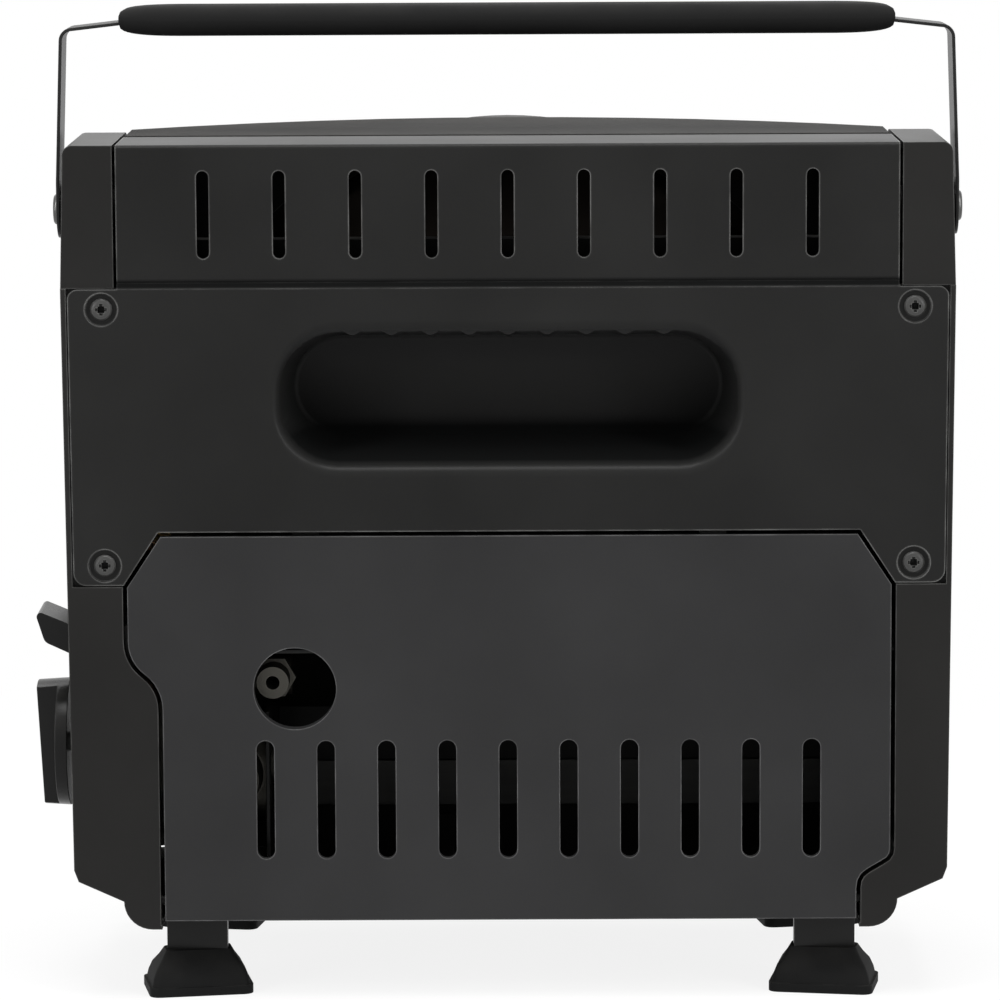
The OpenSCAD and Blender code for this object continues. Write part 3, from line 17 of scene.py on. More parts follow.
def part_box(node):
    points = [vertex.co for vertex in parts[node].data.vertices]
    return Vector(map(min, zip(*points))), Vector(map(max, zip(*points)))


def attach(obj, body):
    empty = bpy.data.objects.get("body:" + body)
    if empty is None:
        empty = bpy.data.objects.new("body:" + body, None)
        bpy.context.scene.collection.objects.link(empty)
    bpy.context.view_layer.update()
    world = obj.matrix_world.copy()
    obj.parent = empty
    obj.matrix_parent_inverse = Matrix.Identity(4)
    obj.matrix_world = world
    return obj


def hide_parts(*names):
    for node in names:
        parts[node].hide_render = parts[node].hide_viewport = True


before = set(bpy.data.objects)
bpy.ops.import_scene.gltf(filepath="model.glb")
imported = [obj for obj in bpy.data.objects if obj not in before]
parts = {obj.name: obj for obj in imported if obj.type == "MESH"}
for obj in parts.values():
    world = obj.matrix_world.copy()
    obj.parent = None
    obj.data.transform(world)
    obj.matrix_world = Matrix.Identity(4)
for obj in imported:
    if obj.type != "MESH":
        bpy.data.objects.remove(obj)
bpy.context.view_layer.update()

# %% [markdown]
# ## Places on the heater
#
# The heater was drawn from its rear face and its middle, in millimetres: x to the side, d
# forwards from the rear face, z up from the table. A small helper turns such a place into a
# point of the scene, and takes its zero from the parts themselves.

# %% A point of the drawing as a point of the scene
MM = 0.001
rear_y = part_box("rear_cover")[1].y
middle_x = (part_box("side_housing_left")[0].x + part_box("side_housing_right")[1].x) / 2


def at(x, d, z):
    """The point of the scene for a place of the drawing, in millimetres."""
    return Vector((middle_x + x * MM, rear_y - d * MM, z * MM))


print("rear face at y =", round(rear_y, 4), "and middle at x =", round(middle_x, 4))

# %% [markdown]
# ## Camera
#
# A long lens, 1.5 m behind the heater, looks down on it by eight degrees, as one looks at a
# thing on a table across the room. The camera leans by a quarter of a degree, which is set by
# turning its own axes before they go into its matrix.

# %% Turn the camera's axes
picture_width, focal_length, heater_off_middle = 1000, 5192, 9  # in points of the picture
look_down = math.radians(7.93)
look_aside = math.atan(heater_off_middle / focal_length)
lean_over = math.radians(0.27)
forward = Vector((math.sin(look_aside) * math.cos(look_down),
                  -math.cos(look_aside) * math.cos(look_down), -math.sin(look_down)))
level_right = forward.cross(Vector((0, 0, 1))).normalized()
level_up = level_right.cross(forward)
right = level_right * math.cos(lean_over) - level_up * math.sin(lean_over)
up = level_up * math.cos(lean_over) + level_right * math.sin(lean_over)
print("camera looks along", [round(part, 3) for part in forward])

# %% Set up the camera
camera_behind, camera_high = 1500, 358.1  # millimetres
camera_data = bpy.data.cameras.new("camera")
camera_data.sensor_width = 36
camera_data.lens = focal_length / picture_width * camera_data.sensor_width
camera_data.clip_end = 20
camera = bpy.data.objects.new("camera", camera_data)
camera.matrix_world = Matrix.Translation(at(0, -camera_behind, camera_high)) @ Matrix(
    (right, up, -forward)).transposed().to_4x4()
bpy.context.scene.collection.objects.link(camera)
bpy.context.scene.camera = camera
print("camera lens", round(camera_data.lens, 1), "mm")

# %% [markdown]
# ## Helpers for node trees
#
# The world and the materials are built from nodes, and most of these do sums on masks. A few
# short functions place such a node, feed it and return its output, so that the recipes further
# down read like formulas.

# %% Sums and masks
def number(tree, operation, a, b=0.0):
    """A math node fed by sockets or plain numbers; returns its output."""
    node = tree.nodes.new("ShaderNodeMath")
    node.operation = operation
    for slot, source in enumerate((a, b)):
        if isinstance(source, (int, float)):
            node.inputs[slot].default_value = source
        else:
            tree.links.new(source, node.inputs[slot])
    return node.outputs[0]


def times(tree, *sources):
    """The product of several sockets or numbers."""
    product = sources[0]
    for source in sources[1:]:
        product = number(tree, "MULTIPLY", product, source)
    return product


def spread(tree, source, low, high, to_low=0.0, to_high=1.0, smooth=False):
    """Maps low..high of a socket to to_low..to_high, and stays there outside."""
    node = tree.nodes.new("ShaderNodeMapRange")
    node.interpolation_type = "SMOOTHSTEP" if smooth else "LINEAR"
    tree.links.new(source, node.inputs["Value"])
    for label, value in (("From Min", low), ("From Max", high), ("To Min", to_low),
                         ("To Max", to_high)):
        node.inputs[label].default_value = value
    return node.outputs["Result"]


def window(tree, source, start, full, fading, gone):
    """A mask that is 1 from full to fading, and 0 before start and after gone."""
    return times(tree, spread(tree, source, start, full), spread(tree, source, gone, fading))


def seen_by(tree, *kinds):
    """A mask that is 1 for rays of the given kinds."""
    rays = tree.nodes.new("ShaderNodeLightPath")
    mask = rays.outputs[kinds[0]]
    for kind in kinds[1:]:
        mask = number(tree, "MAXIMUM", mask, rays.outputs[kind])
    return mask


print("helpers for node trees are ready")

# %% [markdown]
# ## Lamps and surroundings
#
# Nearly black plastic shows its form by what it mirrors at its edges. Two tall, narrow soft
# boxes stand beside the heater: they graze the flat faces and flash in every rounded edge. A
# box above lights the table, and the table lights the faces from below. A fourth, in front,
# keeps the burner's side from going dark. The world is plain white where it is seen, straight
# or in a reflection, and much weaker as a lamp.

# %% Make the world
bpy.context.scene.view_settings.view_transform = "Standard"
world_as_lamp, world_as_seen = 0.32, 1.0
world = bpy.data.worlds.new("white_room")
bpy.context.scene.world = world
world.use_nodes = True
tree = world.node_tree
room = tree.nodes["Background"]
room.inputs["Color"].default_value = (1, 1, 1, 1)
any_view = seen_by(tree, "Is Camera Ray", "Is Glossy Ray", "Is Transmission Ray")
tree.links.new(spread(tree, any_view, 0, 1, world_as_lamp, world_as_seen),
               room.inputs["Strength"])
print("world lights at", world_as_lamp)

# %% Hang the lamps
heater_middle = at(0, 60, 140)


def lamp(name, place, width, height, power):
    """A soft lamp of a width and a height that faces the middle of the heater."""
    data = bpy.data.lights.new(name, "AREA")
    data.shape = "RECTANGLE"
    data.size, data.size_y = width, height
    data.energy = power
    made = bpy.data.objects.new(name, data)
    made.location = place
    made.rotation_euler = (heater_middle - place).to_track_quat("-Z", "Y").to_euler()
    bpy.context.scene.collection.objects.link(made)
    return made


lamps = [lamp("lamp_above", Vector((0.0, 0.35, 1.5)), 0.8, 0.7, 17),
         lamp("lamp_right", Vector((-0.9, 0.75, 0.75)), 0.2, 1.3, 9.5),
         lamp("lamp_left", Vector((0.9, 0.75, 0.75)), 0.2, 1.3, 8.5),
         lamp("lamp_front", Vector((0.1, -0.9, 1.5)), 1.0, 1.0, 9)]
print(len(lamps), "lamps")

# %% [markdown]
# ## Floor
#
# A white table that runs into the white room. Near the heater it is a real matt surface and
# keeps the shadow under the shoes; further out it turns into a plain white glow, so that no
# horizon shows. Only rays that are seen meet the glow, so it doesn't light the heater.

# %% Lay the floor
floor_half = 4
floor_mesh = bpy.data.meshes.new("floor")
floor_mesh.from_pydata([(-floor_half, -floor_half, 0), (floor_half, -floor_half, 0),
                        (floor_half, floor_half, 0), (-floor_half, floor_half, 0)],
                       [], [(0, 1, 2, 3)])
floor = bpy.data.objects.new("floor", floor_mesh)
bpy.context.scene.collection.objects.link(floor)
print("floor laid,", 2 * floor_half, "m wide")

# %% Let the floor glow further out
shadow_reach, glow_reach = 0.16, 0.5
glow_under_heater, glow_outside = 0.86, 1.0
table_white = bpy.data.materials.new("table_white")
table_white.use_nodes = True
tree = table_white.node_tree
matt = tree.nodes["Principled BSDF"]
matt.inputs["Base Color"].default_value = (0.9, 0.9, 0.9, 1)
matt.inputs["Roughness"].default_value = 0.9
matt.inputs["Specular IOR Level"].default_value = 0.1
distance = tree.nodes.new("ShaderNodeVectorMath")
distance.operation = "LENGTH"
tree.links.new(tree.nodes.new("ShaderNodeTexCoord").outputs["Object"], distance.inputs[0])
glow_share = times(tree, seen_by(tree, "Is Camera Ray", "Is Glossy Ray"),
                   spread(tree, distance.outputs["Value"], shadow_reach, glow_reach,
                          glow_under_heater, glow_outside, smooth=True))
blend = tree.nodes.new("ShaderNodeMixShader")
tree.links.new(glow_share, blend.inputs["Fac"])
tree.links.new(matt.outputs[0], blend.inputs[1])
tree.links.new(tree.nodes.new("ShaderNodeEmission").outputs[0], blend.inputs[2])
tree.links.new(blend.outputs[0], tree.nodes["Material Output"].inputs["Surface"])
floor_mesh.materials.append(table_white)
print("floor glows from", shadow_reach, "to", glow_reach, "m")

# %% [markdown]
# ## Node groups for the finishes
#
# Several finishes share an effect: the fine grain of a moulding, pale edges that are partly wear
# and partly painted highlight, settled dust, the lines of rolled steel. Each effect is one node
# group with named sockets, which a material places with its own values. A group only gives masks,
# heights and tones; the shader stays in the material.

# %% Helpers for the groups
def start_group(name, inputs, outputs):
    """An empty group with number inputs (name: value) and outputs; returns it and its two ends."""
    group = bpy.data.node_groups.new(name, "ShaderNodeTree")
    for label, value in inputs.items():
        socket = group.interface.new_socket(label, in_out="INPUT", socket_type="NodeSocketFloat")
        socket.default_value = value
    for label in outputs:
        group.interface.new_socket(label, in_out="OUTPUT", socket_type="NodeSocketFloat")
    return group, group.nodes.new("NodeGroupInput"), group.nodes.new("NodeGroupOutput")


def noise(tree, scale, detail, vector=None):
    """A noise texture, on the part's own coordinates unless others are given; returns its value."""
    node = tree.nodes.new("ShaderNodeTexNoise")
    node.inputs["Detail"].default_value = detail
    tree.links.new(scale, node.inputs["Scale"])
    if vector is None:
        vector = tree.nodes.new("ShaderNodeTexCoord").outputs["Object"]
    tree.links.new(vector, node.inputs["Vector"])
    return node.outputs["Fac"]


def axes(tree, node_type, output):
    """The x, y and z of a vector that another node gives, such as a place or a normal."""
    split = tree.nodes.new("ShaderNodeSeparateXYZ")
    tree.links.new(tree.nodes.new(node_type).outputs[output], split.inputs[0])
    return split.outputs


print("helpers for node groups are ready")

# %% [markdown]
# A mould is etched so that the plastic comes out with a fine grain. Large soft patches come
# from how the plastic flowed. The group gives the grain as a height and the patches as a tone.

# %% Grain of mouldings, castings and paint
patch_scale, patch_share = 0.012, 0.75
grain_group, ends_in, ends_out = start_group("surface_grain", {"Scale": 1500.0},
                                             ["Height", "Tone"])
fine = noise(grain_group, ends_in.outputs["Scale"], 3.0)
patches = noise(grain_group, times(grain_group, ends_in.outputs["Scale"], patch_scale), 3.0)
grain_group.links.new(fine, ends_out.inputs["Height"])
grain_group.links.new(number(
    grain_group, "ADD", times(grain_group, spread(grain_group, patches, 0.3, 0.7), patch_share),
    times(grain_group, fine, 1 - patch_share)), ends_out.inputs["Tone"])
print("group", grain_group.name)

# %% [markdown]
# Hands and tools rub the edges first, and rounded edges catch the light, so the pale line laid
# here is partly wear and partly a painted highlight. A bevel node looks a little way round each
# point: where its rounded normal leaves the true one there is an edge. Noise breaks the line up.

# %% Worn edges, with a painted highlight
edge_wear_and_highlight_group, ends_in, ends_out = start_group("edges_worn_and_highlit", {"Radius": 0.0006, "Scale": 120.0},
                                            ["Mask"])
round_over = edge_wear_and_highlight_group.nodes.new("ShaderNodeBevel")
round_over.samples = 6
edge_wear_and_highlight_group.links.new(ends_in.outputs["Radius"], round_over.inputs["Radius"])
true_normal = edge_wear_and_highlight_group.nodes.new("ShaderNodeNewGeometry")
alike = edge_wear_and_highlight_group.nodes.new("ShaderNodeVectorMath")
alike.operation = "DOT_PRODUCT"
edge_wear_and_highlight_group.links.new(round_over.outputs["Normal"], alike.inputs[0])
edge_wear_and_highlight_group.links.new(true_normal.outputs["Normal"], alike.inputs[1])
edge = spread(edge_wear_and_highlight_group, alike.outputs["Value"], 0.995, 0.86)
breaks = spread(edge_wear_and_highlight_group, noise(edge_wear_and_highlight_group, ends_in.outputs["Scale"], 4.0), 0.35, 0.65, 0.35)
edge_wear_and_highlight_group.links.new(times(edge_wear_and_highlight_group, edge, breaks), ends_out.inputs["Mask"])
print("group", edge_wear_and_highlight_group.name)

# %% [markdown]
# Dust settles on what faces up, in uneven patches.

# %% Settled dust
dust_group, ends_in, ends_out = start_group("settled_dust", {"Scale": 60.0}, ["Mask"])
level = spread(dust_group, axes(dust_group, "ShaderNodeNewGeometry", "Normal")["Z"], 0.25, 1.0)
patchy = spread(dust_group, noise(dust_group, ends_in.outputs["Scale"], 5.0), 0.35, 0.75)
dust_group.links.new(times(dust_group, level, patchy), ends_out.inputs["Mask"])
print("group", dust_group.name)

# %% [markdown]
# Rolled sheet and drawn wire carry long fine lines. Noise that is squeezed across one direction
# draws them, and a second, coarser noise makes the cloudy tone of zinc.

# %% Lines of rolled metal
cloud_scale, cloud_share = 0.12, 0.6
rolled_group, ends_in, ends_out = start_group("rolled_lines", {"Scale": 400.0},
                                              ["Height", "Tone"])
squeeze = rolled_group.nodes.new("ShaderNodeMapping")
squeeze.inputs["Scale"].default_value = (0.06, 1.0, 1.0)
rolled_group.links.new(rolled_group.nodes.new("ShaderNodeTexCoord").outputs["Object"],
                       squeeze.inputs["Vector"])
lines = noise(rolled_group, ends_in.outputs["Scale"], 3.0, squeeze.outputs["Vector"])
clouds = noise(rolled_group, times(rolled_group, ends_in.outputs["Scale"], cloud_scale), 4.0)
rolled_group.links.new(lines, ends_out.inputs["Height"])
rolled_group.links.new(number(
    rolled_group, "ADD",
    times(rolled_group, spread(rolled_group, clouds, 0.35, 0.65), cloud_share),
    times(rolled_group, spread(rolled_group, lines, 0.35, 0.65), 1 - cloud_share)),
    ends_out.inputs["Tone"])
print("group", rolled_group.name)

# %% [markdown]
# ## Finishes
#
# One function builds every finish from the same few layers: a base colour that wavers in tone,
# pale edges that are partly wear and partly painted highlight, dust, a roughness that follows the
# tone, and a bump from the fine pattern. What is the same all over a surface is set on the
# shader's own sockets.

# %% Helpers for a finish
def layer(tree, below, above, mask, amount=1.0):
    """Mixes a colour over another through a mask; returns the mixed colour."""
    mix = tree.nodes.new("ShaderNodeMix")
    mix.data_type = "RGBA"
    tree.links.new(times(tree, mask, amount), mix.inputs["Factor"])
    colour_inputs = [socket for socket in mix.inputs if socket.type == "RGBA"]
    for socket, colour in zip(colour_inputs, (below, above)):
        if isinstance(colour, tuple):
            socket.default_value = (*colour, 1)
        else:
            tree.links.new(colour, socket)
    return [socket for socket in mix.outputs if socket.type == "RGBA"][0]


def use_group(tree, group, **values):
    """Places a node group with its own values; returns its outputs."""
    node = tree.nodes.new("ShaderNodeGroup")
    node.node_tree = group
    for label, value in values.items():
        node.inputs[label].default_value = value
    return node.outputs


print("helpers for a finish are ready")

# %% The function that makes a finish
dust_colour = (0.3, 0.29, 0.27)
dust_roughness, worn_polish, waver = 0.6, 0.08, 0.12
bump_depth = 0.0004
finishes = {}


def finish(name, colour, rough, tone=0.2, pattern=grain_group, scale=1500, bump=0.05, wear_and_highlight=0.3,
           wear_and_highlight_colour=None, dust=0.12, metal=0.0, shine=0.5, radius=0.0006):
    """A material, kept in finishes; its name is also the slot in the part's record."""
    made = bpy.data.materials.new(name)
    made.use_nodes = True
    tree = made.node_tree
    shader = tree.nodes["Principled BSDF"]
    shader.inputs["Metallic"].default_value = metal
    shader.inputs["Specular IOR Level"].default_value = shine
    surface = use_group(tree, pattern, Scale=scale)
    edges = use_group(tree, edge_wear_and_highlight_group, Radius=radius)["Mask"]
    settled = use_group(tree, dust_group)["Mask"]
    dark = tuple(c * (1 - tone) for c in colour)
    light = tuple(min(1, c * (1 + tone)) for c in colour)
    if wear_and_highlight_colour is None:
        wear_and_highlight_colour = tuple(min(1, c * 2.2 + 0.02) for c in colour)
    body = layer(tree, dark, light, surface["Tone"])
    # Pale edges: partly wear, partly a painted highlight.
    body = layer(tree, body, wear_and_highlight_colour, edges, wear_and_highlight)
    body = layer(tree, body, dust_colour, settled, dust)
    tree.links.new(body, shader.inputs["Base Color"])
    wavering = spread(tree, surface["Tone"], 0, 1, rough * (1 - waver), min(1, rough * (1 + waver)))
    dusty = number(tree, "ADD", wavering, times(tree, settled, dust * dust_roughness))
    tree.links.new(number(tree, "SUBTRACT", dusty, times(tree, edges, worn_polish)),
                   shader.inputs["Roughness"])
    relief = tree.nodes.new("ShaderNodeBump")
    relief.inputs["Strength"].default_value = bump
    relief.inputs["Distance"].default_value = bump_depth
    tree.links.new(surface["Height"], relief.inputs["Height"])
    tree.links.new(relief.outputs["Normal"], shader.inputs["Normal"])
    finishes[name] = made


print("finish() is ready")

# %% [markdown]
# The housings, the rear cover and the fuel door are moulded in nearly black plastic with a
# satin grain. At a flat angle the grain catches the white room, so the tops look pale grey
# while the upright faces stay dark. The door comes from another mould and is a shade lighter.

# %% Plastics
# The pale edge colours of the housings, the cover and the door are mostly a painted highlight along
# their rounded edges.
finish("housing_plastic", (0.0113, 0.011, 0.0105), 0.34, wear_and_highlight=0.6,
       wear_and_highlight_colour=(0.13, 0.13, 0.125), dust=0.03, shine=0.12)
finish("cover_plastic", (0.0133, 0.0133, 0.013), 0.32, wear_and_highlight=0.75,
       wear_and_highlight_colour=(0.17, 0.17, 0.165), dust=0.008, shine=0.06, radius=0.0008)
finish("door_plastic", (0.0192, 0.0192, 0.0197), 0.38, wear_and_highlight=0.75,
       wear_and_highlight_colour=(0.17, 0.17, 0.17), dust=0.03, shine=0.14)
finish("grip_plastic", (0.0085, 0.0085, 0.0085), 0.8, wear_and_highlight=0.2, dust=0.03, shine=0.08)
finish("control_plastic", (0.0078, 0.0078, 0.0076), 0.26, shine=0.14)
finish("igniter_body", (0.012, 0.012, 0.014), 0.4, wear_and_highlight=0.1, shine=0.3)
finish("shoe_rubber", (0.0055, 0.0056, 0.0056), 0.7, scale=900, bump=0.12, wear_and_highlight=0.12,
       dust=0.08, shine=0.1)
print(len(finishes), "plastics and rubber")

# %% [markdown]
# The legs, the bail and the burner's ring are powder coated: black, with an orange-peel
# surface. The deck and the front get hot, so they have a thinner, duller paint.

# %% Paints
finish("black_metal", (0.01, 0.01, 0.0098), 0.36, scale=700, bump=0.1, wear_and_highlight=0.25,
       wear_and_highlight_colour=(0.09, 0.09, 0.09), shine=0.15)
finish("deck_metal", (0.016, 0.0155, 0.0147), 0.68, scale=900, bump=0.08, wear_and_highlight=0.2,
       dust=0.05, shine=0.12)
finish("front_metal", (0.014, 0.014, 0.014), 0.5, scale=900, bump=0.08, wear_and_highlight=0.2, shine=0.2)
finish("black_screws", (0.022, 0.022, 0.021), 0.34, wear_and_highlight=0.6, wear_and_highlight_colour=(0.16, 0.16, 0.15),
       dust=0.03, radius=0.0004)
print(len(finishes), "finishes so far")

# %% [markdown]
# Inside there is galvanised sheet, zinc castings, brass fittings and a copper pipe. The sheet is
# painted far darker than bare zinc, as painted shade for the closed inside of the heater; the
# castings and fittings are dulled by heat and handling. The reflector is polished, and the guard's
# wire is plated.

# %% Metals
finish("polished_steel", (0.6, 0.59, 0.57), 0.16, tone=0.08, pattern=rolled_group, scale=300,
       bump=0.02, wear_and_highlight=0.0, dust=0.02, metal=1.0)
finish("bright_wire", (0.6, 0.6, 0.61), 0.2, tone=0.1, pattern=rolled_group, scale=500,
       bump=0.03, wear_and_highlight=0.0, dust=0.03, metal=1.0)
# The sheet's dark colour is painted shade for the inside of the heater.
finish("sheet_steel", (0.07, 0.07, 0.068), 0.5, tone=0.25, pattern=rolled_group, scale=250,
       wear_and_highlight=0.2, wear_and_highlight_colour=(0.25, 0.25, 0.24), dust=0.1, metal=1.0)
finish("screw_steel", (0.1, 0.1, 0.098), 0.34, wear_and_highlight=0.5, wear_and_highlight_colour=(0.35, 0.35, 0.34),
       dust=0.05, metal=1.0, radius=0.0003)
finish("burner_steel", (0.24, 0.22, 0.2), 0.45, tone=0.3, pattern=rolled_group, scale=350,
       wear_and_highlight=0.1, dust=0.05, metal=1.0)
finish("die_cast", (0.08, 0.077, 0.068), 0.52, tone=0.25, scale=1100, bump=0.2,
       wear_and_highlight_colour=(0.2, 0.19, 0.17), metal=1.0)
finish("brass", (0.42, 0.31, 0.14), 0.36, wear_and_highlight_colour=(0.65, 0.5, 0.25), metal=1.0,
       radius=0.0003)
finish("copper_pipe", (0.16, 0.09, 0.055), 0.45, tone=0.3, pattern=rolled_group, scale=400,
       bump=0.04, wear_and_highlight=0.1, wear_and_highlight_colour=(0.3, 0.18, 0.11), metal=1.0)
finish("sensor_ceramic", (0.72, 0.71, 0.68), 0.3, tone=0.06, wear_and_highlight=0.0, dust=0.1)
finish("ceramic", (0.6, 0.54, 0.43), 0.85, tone=0.15, scale=1200, bump=0.3, wear_and_highlight=0.0, dust=0.0,
       shine=0.2)
print(len(finishes), "finishes in all")

# %% [markdown]
# ## Marks of use
#
# Some finishes change in one place only. A helper lays a colour over a finish through a mask,
# and can make it rougher there.
#
# Only the bowl of the reflector is polished. Its back is painted dark brown, as painted shade for
# the closed inside of the heater, and made rougher. The part's own normals tell the two sides
# apart: the back's point to the rear.

# %% Paint shade on the reflector's back and dull it
def lay_over(name, colour, mask, amount=1.0, rougher=0.0):
    """Lays a colour over a finish through a mask, and adds to its roughness there."""
    tree = finishes[name].node_tree
    base = tree.nodes["Principled BSDF"].inputs["Base Color"]
    rough = tree.nodes["Principled BSDF"].inputs["Roughness"]
    tree.links.new(layer(tree, base.links[0].from_socket, colour, mask, amount), base)
    if rougher:
        tree.links.new(number(tree, "ADD", rough.links[0].from_socket, times(
            tree, mask, rougher)), rough)


tree = finishes["polished_steel"].node_tree
facing_back = spread(tree, axes(tree, "ShaderNodeTexCoord", "Normal")["Y"], 0.05, 0.3)
# Painted shade on the back of the reflector.
lay_over("polished_steel", (0.035, 0.03, 0.026), facing_back, rougher=0.45)
print("reflector has a polished bowl and a dull back")

# %% [markdown]
# On the roof of the grab recess and its ridges the pale edge line is left out, and what faces
# down is painted a little paler: painted light, for the light the table throws up into the
# recess. The place on the cover finds the roof. A list of heights says where a mask starts, is
# full, fades and is gone, and a list of depths where it starts and is full.

# %% Paint light under the roof of the recess
recess_reach, recess_fade = 80 * MM, 10 * MM
roof_heights = [z * MM for z in (186, 189.5, 199, 200)]
roof_depths = [rear_y - d * MM for d in (0.2, 0.6)]
tree = finishes["cover_plastic"].node_tree
place = axes(tree, "ShaderNodeTexCoord", "Object")
off_middle = number(tree, "ABSOLUTE", number(tree, "SUBTRACT", place["X"], middle_x))
by_recess = spread(tree, off_middle, recess_reach + recess_fade, recess_reach)
by_roof = times(tree, by_recess, spread(tree, place["Y"], *roof_depths),
                window(tree, place["Z"], *roof_heights))
facing_down = spread(tree, axes(tree, "ShaderNodeNewGeometry", "Normal")["Z"], -0.5, -0.9)
# Down-facing faces on the roof are painted paler, as painted light from below; the rest of the roof
# takes a plain colour.
painted_paler = layer(tree, (0.0125, 0.0125, 0.0125), (0.022, 0.022, 0.022), facing_down)
lay_over("cover_plastic", painted_paler, by_roof)
print("roof rubbed within", recess_reach, "m of the middle")

# %% [markdown]
# Painted shade darkens the places that light hardly reaches: the depth of the grab recess,
# mostly low down, the crease under the slot panel, and the cross of each cover screw. The
# painted shade is also made dull, so it takes colour and shine together. An occlusion node finds
# the depth, and the place on the cover finds the floor of the recess and the crease.

# %% Painted shade on the cover and its screws
painted_shade = {"colour": (0.0015, 0.0017, 0.0017), "amount": 0.95, "rougher": 0.7}
crease_shade_share = 0.9
low_in_recess = [z * MM for z in (190, 168)]
floor_heights = [z * MM for z in (155, 158, 167.2, 172.2)]
floor_depths = [rear_y - d * MM for d in (1.2, 6)]
slot_panel_height = 41.9 * MM
crease_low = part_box("rear_cover")[1].z - slot_panel_height
crease_heights = [crease_low + z * MM for z in (0, 0.8, 2.2, 3.2)]


def closed_in(tree, reach, low, high):
    """A mask of how closely a point is shut in by other surfaces within a reach."""
    closeness = tree.nodes.new("ShaderNodeAmbientOcclusion")
    closeness.samples = 6
    closeness.inputs["Distance"].default_value = reach
    return spread(tree, closeness.outputs["AO"], low, high)


deep_in = times(tree, closed_in(tree, 30 * MM, 0.85, 0.4),
                spread(tree, place["Z"], *low_in_recess))
on_floor = times(tree, window(tree, place["Z"], *floor_heights),
                 spread(tree, place["Y"], *floor_depths))
in_recess = times(tree, by_recess, number(tree, "MAXIMUM", deep_in, on_floor))
in_crease = times(tree, window(tree, place["Z"], *crease_heights), crease_shade_share)
# Painted shade in the recess and the crease.
lay_over("cover_plastic", mask=number(tree, "MAXIMUM", in_recess, in_crease), **painted_shade)
# Painted shade in the cross of each screw.
screw_tree = finishes["black_screws"].node_tree
lay_over("black_screws", mask=closed_in(screw_tree, 2 * MM, 0.74, 0.5), **painted_shade)
print("film lies from", round(crease_low, 4), "m up in the crease, in the recess and the screws")

# %% [markdown]
# The burner's plaque is a tile of pale ceramic with rows of fine holes, where the gas burns.
# The holes are too many to cut, so a grid of round dots draws them: dark with painted shade of
# their depth, and sunk by a bump.
# The tile leans back with the front, and the grid is turned until it lies flat on the tile.

# %% Pierce the plaque
holes_per_metre = 400
hole_rim = (0.3, 0.22)  # where a hole starts and is full, as a share of the pitch
tree = finishes["ceramic"].node_tree
tile_face = max(parts["ceramic_plaque"].data.polygons, key=lambda face: face.area)
lie_flat = tree.nodes.new("ShaderNodeMapping")
lie_flat.inputs["Rotation"].default_value = tile_face.normal.rotation_difference(
    Vector((0, 0, 1))).to_euler()
tree.links.new(tree.nodes.new("ShaderNodeTexCoord").outputs["Object"], lie_flat.inputs["Vector"])
dots = tree.nodes.new("ShaderNodeTexVoronoi")
dots.voronoi_dimensions = "2D"
dots.inputs["Scale"].default_value = holes_per_metre
dots.inputs["Randomness"].default_value = 0
tree.links.new(lie_flat.outputs["Vector"], dots.inputs["Vector"])
in_hole = spread(tree, dots.outputs["Distance"], *hole_rim)
# The dark of each dot is painted shade.
lay_over("ceramic", (0.05, 0.035, 0.025), in_hole, amount=0.9)
print("plaque pierced every", 1000 / holes_per_metre, "mm")

# %% Sink the holes of the plaque
tile_normal = tree.nodes["Principled BSDF"].inputs["Normal"]
sunk = tree.nodes.new("ShaderNodeBump")
sunk.invert = True
sunk.inputs["Strength"].default_value = 0.6
sunk.inputs["Distance"].default_value = 0.0006
tree.links.new(in_hole, sunk.inputs["Height"])
tree.links.new(tile_normal.links[0].from_socket, sunk.inputs["Normal"])
tree.links.new(sunk.outputs["Normal"], tile_normal)
print("holes look sunk")

# %% [markdown]
# ## Which part has which finish
#
# The record lists a material slot for each part; the same names are used here.

# %% Give every part its finish
slots = {
    "housing_plastic": ["side_housing_right", "side_housing_left"],
    "cover_plastic": ["rear_cover"],
    "door_plastic": ["fuel_door"],
    "grip_plastic": ["handle_grip"],
    "control_plastic": ["lock_lever", "control_knob"],
    "igniter_body": ["piezo_igniter"],
    "shoe_rubber": ["rubber_shoes"],
    # The heat shield, the bay's shield and end plate and the cartridge cradle take the black finish
    # as painted shade for the closed inside.
    "black_metal": ["bezel_ring", "base_pan", "leg_right", "leg_left", "handle_strap",
                    "door_hinge_pins", "heat_shield", "bay_shield", "bay_end_plate",
                    "cartridge_cradle"],
    "deck_metal": ["top_deck"],
    "front_metal": ["front_fascia"],
    "black_screws": ["cover_screws"],
    "polished_steel": ["reflector_dish"],
    "bright_wire": ["guard_hoop", "guard_wires"],
    "sheet_steel": ["mixing_tube", "guard_clips", "sensor_bracket", "control_bracket",
                    "door_catches", "cartridge_sled"],
    "screw_steel": ["bracket_screws", "lever_pivot_pin", "leg_screws", "handle_screws",
                    "handle_washers", "valve_spindle"],
    "burner_steel": ["burner_cup", "burner_screen"],
    "die_cast": ["regulator_body", "regulator_cap", "valve_body", "hose_inlet"],
    "brass": ["gas_jet", "thermocouple", "push_plunger"],
    "copper_pipe": ["gas_pipe"],
    "sensor_ceramic": ["igniter_electrode"],
    "ceramic": ["ceramic_plaque"],
}
for slot_name, names in slots.items():
    for name in names:
        mesh = parts[name].data
        mesh.materials.clear()
        mesh.materials.append(finishes[slot_name])
print(sum(len(names) for names in slots.values()), "parts finished")

# %% [markdown]
# ## Soft edges
#
# No moulded or folded edge is truly sharp, and the thin light line along it is what the eye
# reads as real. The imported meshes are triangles, so the points are first welded and flat
# faces joined, and then every edge that turns enough is bevelled. Weighted normals keep the
# flats flat in the shading.

